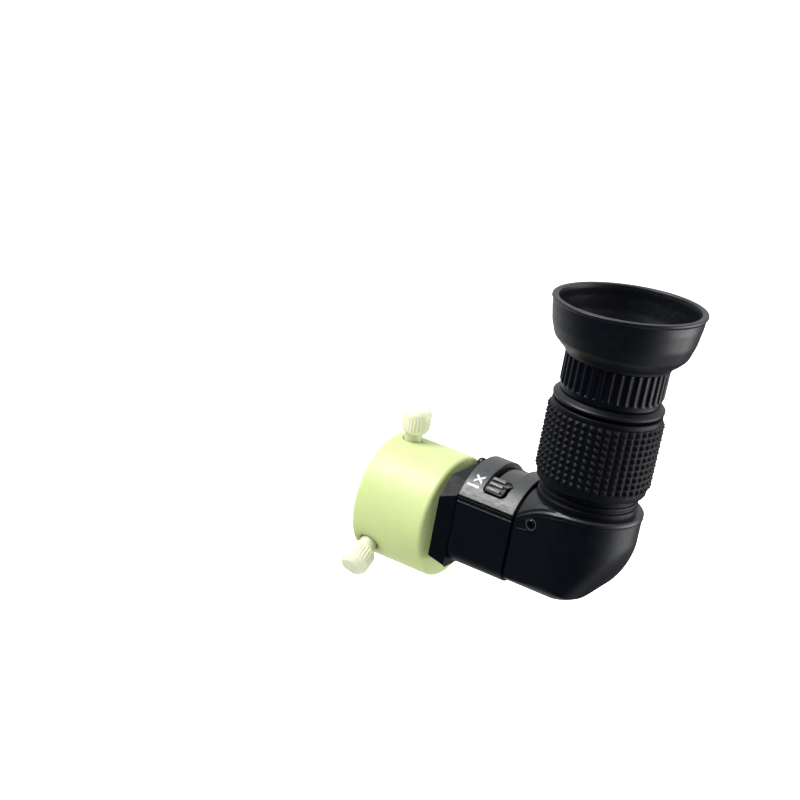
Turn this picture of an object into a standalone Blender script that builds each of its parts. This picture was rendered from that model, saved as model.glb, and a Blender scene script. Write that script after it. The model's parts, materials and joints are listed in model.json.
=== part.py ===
"""Right-angle finder with a 1x/2x magnifier, on a clamp sleeve for a polar scope's eyepiece.

Frame: the origin is the centre of the sleeve's open mouth, +X runs along the sleeve towards the
elbow, and +Z runs up the eyepiece tube. The finder's own axis is AXIS_Z above the sleeve's. Sizes
below are in millimetres, and MM turns them into metres. Angles round the barrel are in degrees from
the top, positive towards +Y.
"""

import math

import bmesh
import bpy
from mathutils import Matrix, Vector

MM = 0.001
GAP = 0.3                    # clearance between pieces that touch or slide

# The main stations along the optical axis
SLEEVE_LENGTH = 21.4
PLATE_X0 = 23.9
PLATE_X1 = 28.2
HOUSING_X0 = PLATE_X1 + GAP
SEAM_X = 45.3                # middle of the groove between the two housings
SEAM_WIDTH = 0.5
EYEPIECE_X = 58.6            # the eyepiece axis

# Clamp sleeve and thumb screws
SLEEVE_R = 17.1
SOCKET_R = 13.8
SOCKET_DEPTH = 15.5
SPIGOT_R = 12.6
SCREW_X = 5.1
SCREW_SHANK_R = 2.35
SCREW_TIP = 13.9             # distances of the screw's tip and head from the axis
SCREW_HEAD_BASE = 19.4
SCREW_HEAD_TOP = 26.2
SCREW_HEAD_R = 4.0
SCREW_RIBS = 18
SCREW_TURNS = {"top": 0.0, "near": 126.0, "far": -126.0}

# Swivel bush and its clip, inside the spigot
SWIVEL_BORE, SWIVEL_R = 5.4, 6.5
CLIP_R = 8.0
CLIP_X0, CLIP_X1 = 18.6, 19.9

# Housing section
AXIS_Z = 3.5                 # height of the finder's optical axis, which it swivels about
HALF_WIDTH = 13.6
FLOOR_Z = -8.0
FLOOR_DEPTH = 3.6            # height of the rounded underside, below the flat sides
COVER_R = 16.5
COVER_THICK = 1.5
COVER_EDGE = 55.4            # angle of the cover's lower edges
HOUSING_ARCH_R = COVER_R - COVER_THICK - GAP
CAVITY_R = 10.6
WALL = 1.5

# Magnification lever, its slot and the lens carriage that it drives
LEVER_REST = -34.5
LEVER_TRAVEL = 69.0
SLOT_X0, SLOT_X1 = 34.2, 40.7
SLOT_END = 44.0
STEM_X0, STEM_X1 = 34.5, 36.3
CAM_BORE, CAM_R = 9.1, 10.3
CAM_X0, CAM_X1 = 33.4, 44.4
CAM_X = 39.6                 # where the cam slot crosses the lever's own angle
CARRIAGE_TRAVEL = 4.0
PIN_R = 0.8

# Elbow
ELBOW_R = 15.0
LID_R = 15.3
LID_TOP = 18.8
LID_UNDER = 17.2
ELBOW_FLOOR_DEPTH = 6.5
SLOPE_ANGLE = 60.0           # the sloping back, from horizontal
SLOPE_FOOT = 3.7             # where its line meets the floor, behind the eyepiece axis
SLOPE_ROUND = 4.5            # radius between the floor and the sloping back
PRISM_HALF = 8.0
ELBOW_SCREW_X, ELBOW_SCREW_Z = 50.9, 12.8

# Eyepiece
TUBE_R, TUBE_BORE = 11.6, 10.4
NECK_R, NECK_TOP = 13.2, 23.4
CORE_R, CORE_BORE = 13.8, 12.0
CORE_Z0, CORE_Z1 = 23.9, 45.3
GRIP_R_LOW, GRIP_R_HIGH, GRIP_BORE = 15.0, 15.3, 14.1
GRIP_Z0, GRIP_Z1 = 24.2, 43.8
FLANGE_Z0, FLANGE_Z1, FLANGE_R = 46.2, 47.2, 14.5
FLANGE_CONE_R, FLANGE_CONE_Z = 13.0, 48.0
BARREL_R, BARREL_BORE = 11.9, 9.8
BARREL_TOP = 60.0
FOCUS_TURN = 270.0
FOCUS_TRAVEL = 4.5
GUIDE_Z = 36.0
RING_Z0, RING_Z1, RING_R, RING_RIBS = 48.3, 58.1, 13.7, 36
CUP_Z0 = 58.4
CUP_RIM_Z, CUP_RIM_R = 72.9, 19.8
CUP_TILT = 3.5               # degrees that the soft rim leans up on the +X side

COLORS = {
    "resin": ((0.74, 0.88, 0.42), 0.35, 0.0),
    "nylon": ((0.82, 0.85, 0.66), 0.45, 0.0),
    "black": ((0.012, 0.013, 0.016), 0.35, 0.0),
    "cover": ((0.16, 0.165, 0.17), 0.35, 0.3),
    "rubber": ((0.02, 0.02, 0.022), 0.7, 0.0),
    "glass": ((0.75, 0.85, 0.9), 0.05, 0.0),
    "steel": ((0.45, 0.45, 0.46), 0.3, 1.0),
    "brass": ((0.7, 0.5, 0.2), 0.35, 1.0),
}

for old in list(bpy.data.objects):
    bpy.data.objects.remove(old, do_unlink=True)


def new_collection(name):
    group = bpy.data.collections.new(name)
    bpy.context.scene.collection.children.link(group)
    return group


PARTS = new_collection("right_angle_finder")
CUTTERS = new_collection("cutters")


# ---------------------------------------------------------------- helpers

def finish_part(obj, look):
    """Put an object among the parts and give it a material of its own."""
    color, rough, metal = COLORS[look]
    material = bpy.data.materials.new(obj.name + "_" + look)
    material.use_nodes = True
    shader = material.node_tree.nodes["Principled BSDF"]
    shader.inputs["Base Color"].default_value = (*color, 1.0)
    shader.inputs["Roughness"].default_value = rough
    shader.inputs["Metallic"].default_value = metal
    obj.data.materials.clear()
    obj.data.materials.append(material)
    for group in list(obj.users_collection):
        group.objects.unlink(obj)
    PARTS.objects.link(obj)
    return obj


def finish_cutter(obj):
    """Put an object among the cutters, which are guides and not pieces."""
    obj.hide_render = True
    obj.display_type = "WIRE"
    for group in list(obj.users_collection):
        group.objects.unlink(obj)
    CUTTERS.objects.link(obj)
    return obj


def point_along_x(obj, centre_z=0.0):
    """Turn a shape built along its local Z so that it runs along +X."""
    obj.rotation_euler = (0.0, math.pi / 2, 0.0)
    obj.location = (0.0, 0.0, centre_z * MM)


def turned(name, profile, closed=True, steps=32):
    """A solid of revolution about local Z; the profile (r, z) runs down its outer side."""
    mesh = bpy.data.meshes.new(name)
    count = len(profile)
    edges = [(i, i + 1) for i in range(count - 1)]
    if closed:
        edges.append((count - 1, 0))
    mesh.from_pydata([(r * MM, 0.0, z * MM) for r, z in profile], edges, [])
    obj = bpy.data.objects.new(name, mesh)
    PARTS.objects.link(obj)
    screw = obj.modifiers.new("turn", "SCREW")
    screw.axis = "Z"
    screw.steps = steps
    screw.render_steps = steps
    screw.use_merge_vertices = True
    screw.merge_threshold = 0.00001
    screw.use_smooth_shade = True
    return obj


def ring(name, r_out, r_in, z0, z1, steps=32):
    """A plain ring with square edges."""
    return turned(name, [(r_out, z1), (r_out, z0), (r_in, z0), (r_in, z1)], steps=steps)


def disc(name, radius, z0, z1, edge=0.3, steps=32):
    """A plain disc with a small chamfer round each face, such as a lens."""
    profile = [(0.0, z1), (radius - edge, z1), (radius, z1 - edge)]
    profile += [(radius, z0 + edge), (radius - edge, z0), (0.0, z0)]
    return turned(name, profile, closed=False, steps=steps)


def rod(name, radius, z0, z1, steps=16):
    """A plain round rod or drill along local Z, from a primitive."""
    mesh = bpy.data.meshes.new(name)
    body = bmesh.new()
    middle = Matrix.Translation((0.0, 0.0, (z0 + z1) / 2 * MM))
    bmesh.ops.create_cone(
        body, cap_ends=True, segments=steps, radius1=radius * MM, radius2=radius * MM,
        depth=(z1 - z0) * MM, matrix=middle)
    body.to_mesh(mesh)
    body.free()
    obj = bpy.data.objects.new(name, mesh)
    PARTS.objects.link(obj)
    return obj


def box(name, low, high):
    """A block between two corners."""
    mesh = bpy.data.meshes.new(name)
    body = bmesh.new()
    size = [(high[i] - low[i]) * MM for i in range(3)]
    middle = [(high[i] + low[i]) / 2 * MM for i in range(3)]
    placed = Matrix.Translation(middle) @ Matrix.Diagonal((*size, 1.0))
    bmesh.ops.create_cube(body, size=1.0, matrix=placed)
    body.to_mesh(mesh)
    body.free()
    obj = bpy.data.objects.new(name, mesh)
    PARTS.objects.link(obj)
    return obj


def to_mesh(obj):
    """Replace an object by the mesh that it evaluates to, welded and in place."""
    bpy.context.view_layer.update()
    evaluated = obj.evaluated_get(bpy.context.evaluated_depsgraph_get())
    mesh = bpy.data.meshes.new_from_object(evaluated)
    body = bmesh.new()
    body.from_mesh(mesh)
    bmesh.ops.remove_doubles(body, verts=body.verts, dist=0.000001)
    body.to_mesh(mesh)
    body.free()
    name = obj.name
    matrix = obj.matrix_world.copy()
    bpy.data.objects.remove(obj, do_unlink=True)
    solid = bpy.data.objects.new(name, mesh)
    solid.matrix_world = matrix
    PARTS.objects.link(solid)
    return solid


def outline_solid(name, points, z0, z1, holes=()):
    """A flat outline in local XY, given thickness from z0 to z1, as a mesh."""
    curve = bpy.data.curves.new(name, "CURVE")
    curve.dimensions = "2D"
    curve.fill_mode = "BOTH"
    curve.extrude = (z1 - z0) / 2 * MM
    for loop in (points, *holes):
        spline = curve.splines.new("POLY")
        spline.points.add(len(loop) - 1)
        for point, (x, y) in zip(spline.points, loop):
            point.co = (x * MM, y * MM, 0.0, 1.0)
        spline.use_cyclic_u = True
    obj = bpy.data.objects.new(name, curve)
    PARTS.objects.link(obj)
    obj = to_mesh(obj)
    obj.data.transform(Matrix.Translation((0.0, 0.0, (z0 + z1) / 2 * MM)))
    return obj


def section_solid(name, points, x0, x1):
    """An outline of (y, z) points, given length along X from x0 to x1."""
    obj = outline_solid(name, [(y, z) for y, z in points], x0, x1)
    obj.data.transform(Matrix(((0, 0, 1, 0), (1, 0, 0, 0), (0, 1, 0, 0), (0, 0, 0, 1))))
    return obj


def side_solid(name, points, y0, y1):
    """An outline of (x, z) points, given width along Y from y0 to y1."""
    obj = outline_solid(name, [(x, z) for x, z in points], -y1, -y0)
    obj.data.transform(Matrix(((1, 0, 0, 0), (0, 0, -1, 0), (0, 1, 0, 0), (0, 0, 0, 1))))
    return obj


def change(obj, tool, operation="DIFFERENCE"):
    """Cut, join or intersect two solids and keep the result as a plain mesh."""
    modifier = obj.modifiers.new(operation.lower(), "BOOLEAN")
    modifier.operation = operation
    modifier.object = tool
    modifier.solver = "EXACT"
    result = to_mesh(obj)
    bpy.data.objects.remove(tool, do_unlink=True)
    return result


def cut_by(obj, tool):
    """Cut with a guide that stays in the file as a modifier's object."""
    modifier = obj.modifiers.new("cut_" + tool.name, "BOOLEAN")
    modifier.operation = "DIFFERENCE"
    modifier.object = finish_cutter(tool)
    modifier.solver = "EXACT"


def soften(obj, width, segments=2, angle=40.0):
    """Round the sharp edges of a solid."""
    bevel = obj.modifiers.new("soften", "BEVEL")
    bevel.width = width * MM
    bevel.segments = segments
    bevel.limit_method = "ANGLE"
    bevel.angle_limit = math.radians(angle)
    return obj


def shade(obj, angle=35.0):
    """Smooth shading with the sharp edges kept."""
    obj.data.shade_smooth()
    obj.data.set_sharp_from_angle(angle=math.radians(angle))
    return obj


def barrel_point(radius, angle, centre_z=AXIS_Z):
    """The (y, z) of a point at an angle from the top, about an axis along X."""
    turn = math.radians(angle)
    return (radius * math.sin(turn), centre_z + radius * math.cos(turn))


def arc(radius, start, stop, steps, centre_z=AXIS_Z):
    """Points (y, z) along an arc about an axis along X."""
    return [barrel_point(radius, start + (stop - start) * i / steps, centre_z) for i in range(steps + 1)]


def band(name, r0, r1, start, stop, x0, x1, steps=16):
    """A curved plate about the arch's axis."""
    points = arc(r1, start, stop, steps) + arc(r0, stop, start, steps)
    return section_solid(name, points, x0, x1)


def helix_cutter(name, corners, turn, rise, steps):
    """A bar swept along a helix about local Z from (r, z) corners, with its ends closed."""
    obj = turned(name, corners, steps=steps)
    screw = obj.modifiers["turn"]
    screw.angle = math.radians(turn)
    screw.screw_offset = rise * MM
    screw.use_merge_vertices = False
    obj = to_mesh(obj)
    body = bmesh.new()
    body.from_mesh(obj.data)
    bmesh.ops.holes_fill(body, edges=body.edges[:], sides=0)
    bmesh.ops.recalc_face_normals(body, faces=body.faces[:])
    body.to_mesh(obj.data)
    body.free()
    return obj


def underside(half_width, floor_z, depth, steps=14):
    """Points (y, z) of the rounded underside, from the +Y side to the -Y side."""
    points = []
    for i in range(steps + 1):
        turn = math.pi * i / steps
        points.append((half_width * math.cos(turn), floor_z + depth - depth * math.sin(turn)))
    return points


# ---------------------------------------------------------------- clamp sleeve

def make_sleeve():
    edge = 0.5
    profile = [(SLEEVE_R - edge, SLEEVE_LENGTH), (SLEEVE_R, SLEEVE_LENGTH - edge), (SLEEVE_R, edge)]
    profile += [(SLEEVE_R - edge, 0.0), (SOCKET_R + edge, 0.0), (SOCKET_R, edge)]
    profile += [(SOCKET_R, SOCKET_DEPTH), (SPIGOT_R + GAP, SOCKET_DEPTH), (SPIGOT_R + GAP, SLEEVE_LENGTH)]
    sleeve = turned("adapter_sleeve", profile, steps=48)
    point_along_x(sleeve)
    for place, turn in SCREW_TURNS.items():
        hole = rod("hole_" + place, SCREW_SHANK_R + GAP, SOCKET_R - 3.0, SLEEVE_R + 3.0)
        hole.location = (SCREW_X * MM, 0.0, 0.0)
        hole.rotation_euler = (math.radians(turn), 0.0, 0.0)
        cut_by(sleeve, hole)
    finish_part(sleeve, "resin")


def make_thumb_screw(place, turn):
    """A nylon screw: a ribbed head on a plain shank. Its origin is on its own axis."""
    shank_top = SCREW_HEAD_BASE + 2.0
    profile = [(0.0, shank_top), (SCREW_SHANK_R, shank_top), (SCREW_SHANK_R, SCREW_TIP + 0.5)]
    profile += [(SCREW_SHANK_R - 0.5, SCREW_TIP), (0.0, SCREW_TIP)]
    screw = to_mesh(turned("thumb_screw_" + place, profile, closed=False, steps=16))
    points = []
    for i in range(SCREW_RIBS * 4):
        radius = SCREW_HEAD_R if i % 4 < 2 else SCREW_HEAD_R - 0.35
        turn_i = math.tau * i / (SCREW_RIBS * 4)
        points.append((radius * math.cos(turn_i), radius * math.sin(turn_i)))
    head = outline_solid("head", points, SCREW_HEAD_BASE, SCREW_HEAD_TOP)
    screw = change(screw, head, "UNION")
    screw.location = (SCREW_X * MM, 0.0, 0.0)
    screw.rotation_euler = (math.radians(turn), 0.0, 0.0)
    finish_part(shade(screw), "nylon")


# ---------------------------------------------------------------- mount plate and swivel

def plate_outline(half_width, top_z, corner_y, corner_z, low_z, foot_y, floor_z):
    """Eight points (y, z) of the mount plate's outline, the -Y side first."""
    side = [(-foot_y, floor_z), (-half_width, low_z), (-half_width, corner_z), (-corner_y, top_z)]
    return side + [(-y, z) for y, z in reversed(side)]


def make_mount_plate():
    """A plate whose sides lean in towards the finder, with a spigot for the sleeve."""
    front = plate_outline(14.8, 15.8, 9.6, 10.8, -6.2, 9.0, -8.9)
    rear = plate_outline(13.5, 15.6, 9.0, 12.3, -8.0, 12.6, -8.8)
    body = bmesh.new()
    loops = []
    for x, outline in ((PLATE_X0, front), (PLATE_X1, rear)):
        loops.append([body.verts.new((x * MM, y * MM, z * MM)) for y, z in outline])
    for i in range(len(front)):
        j = (i + 1) % len(front)
        body.faces.new((loops[0][i], loops[0][j], loops[1][j], loops[1][i]))
    body.faces.new(loops[0])
    body.faces.new(loops[1])
    bmesh.ops.recalc_face_normals(body, faces=body.faces[:])
    mesh = bpy.data.meshes.new("mount_plate")
    body.to_mesh(mesh)
    body.free()
    plate = bpy.data.objects.new("mount_plate", mesh)
    PARTS.objects.link(plate)
    spigot = rod("spigot", SPIGOT_R, 17.0, PLATE_X0 + 1.0, steps=48)
    point_along_x(spigot)
    plate = change(plate, spigot, "UNION")
    bore = rod("bore", SWIVEL_R + GAP, 15.0, PLATE_X1 + 2.0, steps=32)
    point_along_x(bore, AXIS_Z)
    plate = change(plate, bore)
    pocket = rod("pocket", CLIP_R + GAP, 15.0, 20.6, steps=32)
    point_along_x(pocket, AXIS_Z)
    plate = change(plate, pocket)
    finish_part(shade(plate), "black")


def make_swivel():
    """The hollow bush that the finder turns on, with its clip and window."""
    flange_x0, flange_x1 = HOUSING_X0 + WALL + GAP, HOUSING_X0 + WALL + GAP + 1.3
    profile = [(9.4, flange_x1), (9.4, flange_x0), (SWIVEL_R, flange_x0), (SWIVEL_R, 18.0)]
    profile += [(SWIVEL_BORE, 18.0), (SWIVEL_BORE, flange_x1)]
    bush = turned("swivel_bush", profile)
    clip = ring("swivel_clip", CLIP_R, SWIVEL_R + GAP, CLIP_X0, CLIP_X1)
    window = disc("front_window", SWIVEL_BORE - GAP, 18.6, 20.1)
    for obj, look in ((bush, "black"), (clip, "steel"), (window, "glass")):
        point_along_x(obj, AXIS_Z)
        finish_part(obj, look)


# ---------------------------------------------------------------- front housing and magnifier

def housing_section():
    """Outline (y, z) of the front housing: floor, sides, ledges and the arch under the cover."""
    ledge = COVER_EDGE + 1.5
    side_z = AXIS_Z + HALF_WIDTH / math.tan(math.radians(ledge))
    points = underside(HALF_WIDTH, FLOOR_Z, FLOOR_DEPTH)
    points.append((-HALF_WIDTH, side_z))
    points += arc(HOUSING_ARCH_R, -ledge, ledge, 20)
    points.append((HALF_WIDTH, side_z))
    return points


def make_front_housing():
    x1 = SEAM_X - SEAM_WIDTH / 2
    housing = section_solid("front_housing", housing_section(), HOUSING_X0, x1)
    cavity = rod("cavity", CAVITY_R, HOUSING_X0 + WALL, x1 + 5.0, steps=40)
    point_along_x(cavity, AXIS_Z)
    housing = change(housing, cavity)
    port = rod("port", SWIVEL_R + GAP, HOUSING_X0 - 2.0, HOUSING_X0 + WALL + 2.0, steps=32)
    point_along_x(port, AXIS_Z)
    housing = change(housing, port)
    reach = LEVER_TRAVEL / 2 + 8.5
    slit = band("slit", CAVITY_R - 2.0, COVER_R, -reach, reach, STEM_X0 - GAP, STEM_X1 + GAP)
    housing = change(housing, slit)
    finish_part(shade(housing), "black")


def make_top_cover():
    x1 = SEAM_X - SEAM_WIDTH / 2
    cover = band("top_cover", COVER_R - COVER_THICK, COVER_R, -COVER_EDGE, COVER_EDGE, HOUSING_X0, x1, 28)
    slot = band("slot", COVER_R - 4.0, COVER_R + 4.0, -SLOT_END, SLOT_END, SLOT_X0, SLOT_X1)
    finish_part(shade(change(cover, slot)), "cover")


def make_lever():
    """Ribbed knob in the slot, with its stem down to the cam ring that it turns."""
    knob_half = 8.8
    x0, x1 = SLOT_X0 + 0.4, SLOT_X1 - 0.4
    knob = band("slider_knob", COVER_R - COVER_THICK, COVER_R + 0.3, -knob_half, knob_half, x0, x1, 6)
    stem = band("stem", CAM_R + GAP, COVER_R - 0.5, -4.0, 4.0, STEM_X0, STEM_X1, 4)
    knob = change(knob, stem, "UNION")
    for i in (-1, 0, 1):
        middle = i * 5.6
        low, high = middle - 1.5, middle + 1.5
        rib = band("rib", COVER_R - 0.3, COVER_R + 1.1, low, high, x0 + 0.3, x1 - 0.3, 2)
        knob = change(knob, rib, "UNION")
    cam = to_mesh(ring("cam_ring", CAM_R, CAM_BORE, CAM_X0, CAM_X1, steps=40))
    half = LEVER_TRAVEL / 2 + 6.5
    rise = CARRIAGE_TRAVEL * 2 * half / LEVER_TRAVEL
    width = PIN_R + 0.25
    low, high = CAM_BORE - 2.0, CAM_R + 2.0
    corners = [(high, width), (high, -width), (low, -width), (low, width)]
    slot = helix_cutter("cam_slot", corners, 2 * half, rise, 24)
    # The sweep starts at local +X. Local -X becomes the top once the ring points along world X.
    slot.data.transform(Matrix.Rotation(math.radians(180.0 - half), 4, "Z"))
    slot.data.transform(Matrix.Translation((0.0, 0.0, (CAM_X - rise / 2) * MM)))
    cam = change(cam, slot)
    point_along_x(cam, AXIS_Z)
    bpy.context.view_layer.update()
    turn = Matrix.Rotation(math.radians(-LEVER_REST), 4, "X")
    for obj, look in ((knob, "black"), (cam, "brass")):
        obj.data.transform(obj.matrix_world)
        obj.data.transform(Matrix.Translation((0.0, 0.0, -AXIS_Z * MM)))
        obj.matrix_world = Matrix.Translation((0.0, 0.0, AXIS_Z * MM)) @ turn
        finish_part(shade(obj), look)


def make_carriage():
    """Lens carriage on the optical axis, with the pin that runs in the cam ring's slot."""
    pin_x = CAM_X - CARRIAGE_TRAVEL / 2
    x0, x1 = pin_x - 4.3, pin_x + 2.8
    profile = [(8.8, x1), (8.8, x0), (6.4, x0), (6.4, x0 + 1.2), (7.5, x0 + 1.2), (7.5, x1)]
    carriage = turned("lens_carriage", profile)
    point_along_x(carriage, AXIS_Z)
    hole = rod("pin_hole", PIN_R + 0.2, AXIS_Z + 5.0, AXIS_Z + 11.0, steps=12)
    hole.location.x = pin_x * MM
    cut_by(carriage, hole)
    finish_part(carriage, "black")
    pin = rod("carriage_pin", PIN_R, AXIS_Z + 7.7, AXIS_Z + CAM_R - 0.2, steps=12)
    pin.location.x = pin_x * MM
    finish_part(shade(pin), "steel")
    lens = disc("magnifier_lens", 7.2, x0 + 1.5, x0 + 4.3)
    clip = ring("magnifier_clip", 7.2, 6.2, x0 + 4.6, x0 + 5.5)
    for obj, look in ((lens, "glass"), (clip, "steel")):
        point_along_x(obj, AXIS_Z)
        finish_part(obj, look)


def make_objective():
    """Fixed lens in the elbow's front wall."""
    x0 = SEAM_X + SEAM_WIDTH / 2 + GAP
    profile = [(8.0, x0 + 3.6), (8.0, x0), (5.9, x0), (5.9, x0 + 0.8), (6.9, x0 + 0.8), (6.9, x0 + 3.6)]
    cell = turned("objective_cell", profile)
    lens = disc("objective_lens", 6.6, x0 + 1.1, x0 + 3.4)
    for obj, look in ((cell, "black"), (lens, "glass")):
        point_along_x(obj, AXIS_Z)
        finish_part(obj, look)


# ---------------------------------------------------------------- elbow

def elbow_plan(inset, x0):
    """Plan (x, y) of the elbow: sides from the seam that run tangent into a round back."""
    radius = ELBOW_R - inset
    seam_dx = SEAM_X - EYEPIECE_X
    corner = Vector((seam_dx, -(HALF_WIDTH - inset)))
    touch = math.atan2(corner.y, corner.x) + math.acos(radius / corner.length)
    touch_point = Vector((radius * math.cos(touch), radius * math.sin(touch)))
    slope = (touch_point.y - corner.y) / (touch_point.x - corner.x)
    start_y = corner.y + slope * (x0 - SEAM_X)
    steps = 26
    points = [(x0, -start_y), (x0, start_y)]
    for i in range(steps + 1):
        turn = touch + (-2 * touch) * i / steps
        points.append((EYEPIECE_X + radius * math.cos(turn), radius * math.sin(turn)))
    return points


def elbow_block(name, inset, x0, top_z):
    """The elbow's plan, trimmed by its rounded floor and its sloping back."""
    block = outline_solid(name, elbow_plan(inset, x0), FLOOR_Z + inset - 3.0, top_z)
    wide = ELBOW_R - inset + 0.01
    floor = underside(wide, FLOOR_Z + inset, ELBOW_FLOOR_DEPTH)
    floor += [(-wide, top_z + 5.0), (wide, top_z + 5.0)]
    trim = section_solid("trim", floor, x0 - 5.0, EYEPIECE_X + ELBOW_R + 5.0)
    block = change(block, trim, "INTERSECT")
    return change(block, slope_tool(inset))


def slope_tool(inset):
    """Everything behind the sloping back and under the rounded corner at its foot."""
    slope = math.radians(SLOPE_ANGLE)
    floor = FLOOR_Z + inset
    foot = EYEPIECE_X + SLOPE_FOOT - inset / math.sin(slope) + inset / math.tan(slope)
    radius = SLOPE_ROUND - inset
    start = foot - radius * math.tan(slope / 2)
    reach = 40.0
    outline = [(start, floor - reach), (foot + reach, floor - reach), (foot + reach, floor + reach)]
    outline.append((foot + reach / math.tan(slope), floor + reach))
    steps = 5
    for i in range(steps + 1):
        turn = slope * (1 - i / steps)
        outline.append((start + radius * math.sin(turn), floor + radius * (1 - math.cos(turn))))
    return side_solid("slope", outline, -30.0, 30.0)


def lid_edge(lift):
    """Side view (x, z) of the line between the elbow and its lid, from the seam to the back."""
    x0 = SEAM_X - 10.0
    points = [(x0, 12.7), (47.0, 12.9), (48.6, 13.6), (50.4, 14.9), (52.4, 16.3), (54.4, 16.9)]
    points.append((EYEPIECE_X + ELBOW_R + 5.0, 16.9))
    return [(x, z + lift) for x, z in points]


def make_elbow_shell():
    x0 = SEAM_X + SEAM_WIDTH / 2
    shell = elbow_block("elbow_shell", 0.0, x0, LID_TOP + 3.0)
    top = lid_edge(0.0)
    top += [(top[-1][0], 40.0), (top[0][0], 40.0)]
    shell = change(shell, side_solid("top_trim", top, -30.0, 30.0))
    shell = soften(shell, 0.9, 2, 50.0)
    shell = to_mesh(shell)
    face = box("seam_face", (x0 - 5.0, -20.0, -20.0), (x0 + 0.01, 20.0, 20.0))
    shell = change(shell, face)
    cavity = elbow_block("cavity", WALL, x0 + 1.5, LID_TOP + 12.0)
    shell = change(shell, cavity)
    port = rod("port", 8.0 + GAP, x0 - 3.0, x0 + 3.0, steps=32)
    point_along_x(port, AXIS_Z)
    shell = change(shell, port)
    for side in (-1, 1):
        hole = rod("screw_hole", 1.3 + GAP, 9.0, 17.0, steps=16)
        hole.rotation_euler = (side * -math.pi / 2, 0.0, 0.0)
        hole.location = (ELBOW_SCREW_X * MM, 0.0, ELBOW_SCREW_Z * MM)
        shell = change(shell, hole)
    finish_part(shade(shell), "black")


def make_elbow_screws():
    """Small screws sunk in the elbow's wall, one on each side."""
    for side, word in ((-1, "near"), (1, "far")):
        face = 14.35
        profile = [(0.0, face + 0.3), (0.8, face + 0.3), (1.3, face + 0.1), (1.3, face - 1.0)]
        profile += [(0.6, face - 1.0), (0.6, 11.4), (0.0, 11.4)]
        screw = to_mesh(turned("elbow_screw_" + word, profile, closed=False, steps=16))
        screw.rotation_euler = (side * -math.pi / 2, 0.0, 0.0)
        screw.location = (ELBOW_SCREW_X * MM, 0.0, ELBOW_SCREW_Z * MM)
        finish_part(shade(screw), "steel")


def make_elbow_lid():
    """Top plate: an arch that carries on the cover, and a disc round the eyepiece tube."""
    x0 = SEAM_X + SEAM_WIDTH / 2
    back = EYEPIECE_X + ELBOW_R + 5.0
    block = outline_solid("elbow_lid", elbow_plan(0.0, x0), 5.0, LID_TOP + 4.0)
    over = lid_edge(GAP)
    over += [(back, 40.0), (over[0][0], 40.0)]
    block = change(block, side_solid("over_edge", over, -30.0, 30.0), "INTERSECT")
    arch = rod("arch", COVER_R, x0 - 3.0, EYEPIECE_X, steps=72)
    point_along_x(arch, AXIS_Z)
    block = change(block, arch, "INTERSECT")
    plate = rod("plate", LID_R, LID_UNDER, LID_TOP, steps=64)
    plate.location.x = EYEPIECE_X * MM
    block = change(block, plate, "UNION")
    block = change(block, box("seam_trim", (x0 - 10.0, -20.0, 0.0), (x0 + 0.01, 20.0, 30.0)))
    hollow = rod("hollow", ELBOW_R - WALL, 2.0, LID_UNDER, steps=40)
    hollow.location.x = EYEPIECE_X * MM
    block = change(block, hollow)
    front = rod("front_hollow", COVER_R - COVER_THICK, x0 - 3.0, EYEPIECE_X, steps=72)
    point_along_x(front, AXIS_Z)
    low = box("low", (x0 - 5.0, -20.0, -5.0), (EYEPIECE_X, 20.0, LID_UNDER))
    front = change(front, low, "INTERSECT")
    block = change(block, front)
    neck = rod("neck_hole", TUBE_R + GAP, 2.0, 40.0, steps=40)
    neck.location.x = EYEPIECE_X * MM
    block = change(block, neck)
    seat = rod("flange_seat", NECK_R + GAP, LID_TOP, 40.0, steps=40)
    seat.location.x = EYEPIECE_X * MM
    finish_part(shade(change(block, seat)), "cover")


def make_prism():
    """Right-angle prism with its pad and bracket under the long face."""
    half = PRISM_HALF
    corners = [(-half, half), (-half, -half), (half, half)]
    corners = [(EYEPIECE_X + x, AXIS_Z + z) for x, z in corners]
    prism = soften(side_solid("prism", corners, -half, half), 0.4, 1, 30.0)
    finish_part(prism, "glass")

    def sloping_plate(name, drop, thick, start, half_width, look):
        """A plate along the prism's long face, a given drop below it."""
        low = -drop - thick
        end = half - 0.6
        outline = [(start, start - drop), (start, start + low), (end, end + low), (end, end - drop)]
        outline = [(EYEPIECE_X + x, AXIS_Z + z) for x, z in outline]
        finish_part(side_solid(name, outline, -half_width, half_width), look)

    sloping_plate("prism_pad", 0.5, 0.8, 1.4 - half, half - 1.0, "rubber")
    sloping_plate("prism_bracket", 1.7, 1.5, 3.4 - half, half - 0.4, "steel")


# ---------------------------------------------------------------- eyepiece

def on_eyepiece(obj):
    obj.location.x = EYEPIECE_X * MM
    return obj


def make_base_tube():
    """Fixed tube that stands on the lid, with a straight slot for the guide pin."""
    profile = [(TUBE_R, 44.0), (TUBE_R, NECK_TOP), (NECK_R - 0.5, NECK_TOP), (NECK_R - 0.5, 21.3)]
    profile += [(NECK_R, 20.9), (NECK_R, LID_TOP + GAP)]
    profile += [(TUBE_R, LID_TOP + GAP), (TUBE_R, 15.6), (TUBE_BORE, 15.6), (TUBE_BORE, 44.0)]
    tube = to_mesh(on_eyepiece(turned("base_tube", profile, steps=40)))
    half = PIN_R + 0.4
    low = (EYEPIECE_X + 8.0, -half, GUIDE_Z - half)
    high = (EYEPIECE_X + 13.0, half, GUIDE_Z + FOCUS_TRAVEL + half)
    slot = box("guide_slot", low, high)
    finish_part(shade(change(tube, slot)), "black")
    nut = on_eyepiece(ring("tube_nut", 13.2, TUBE_R + GAP, 15.6, LID_UNDER - GAP, steps=40))
    finish_part(nut, "brass")


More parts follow.
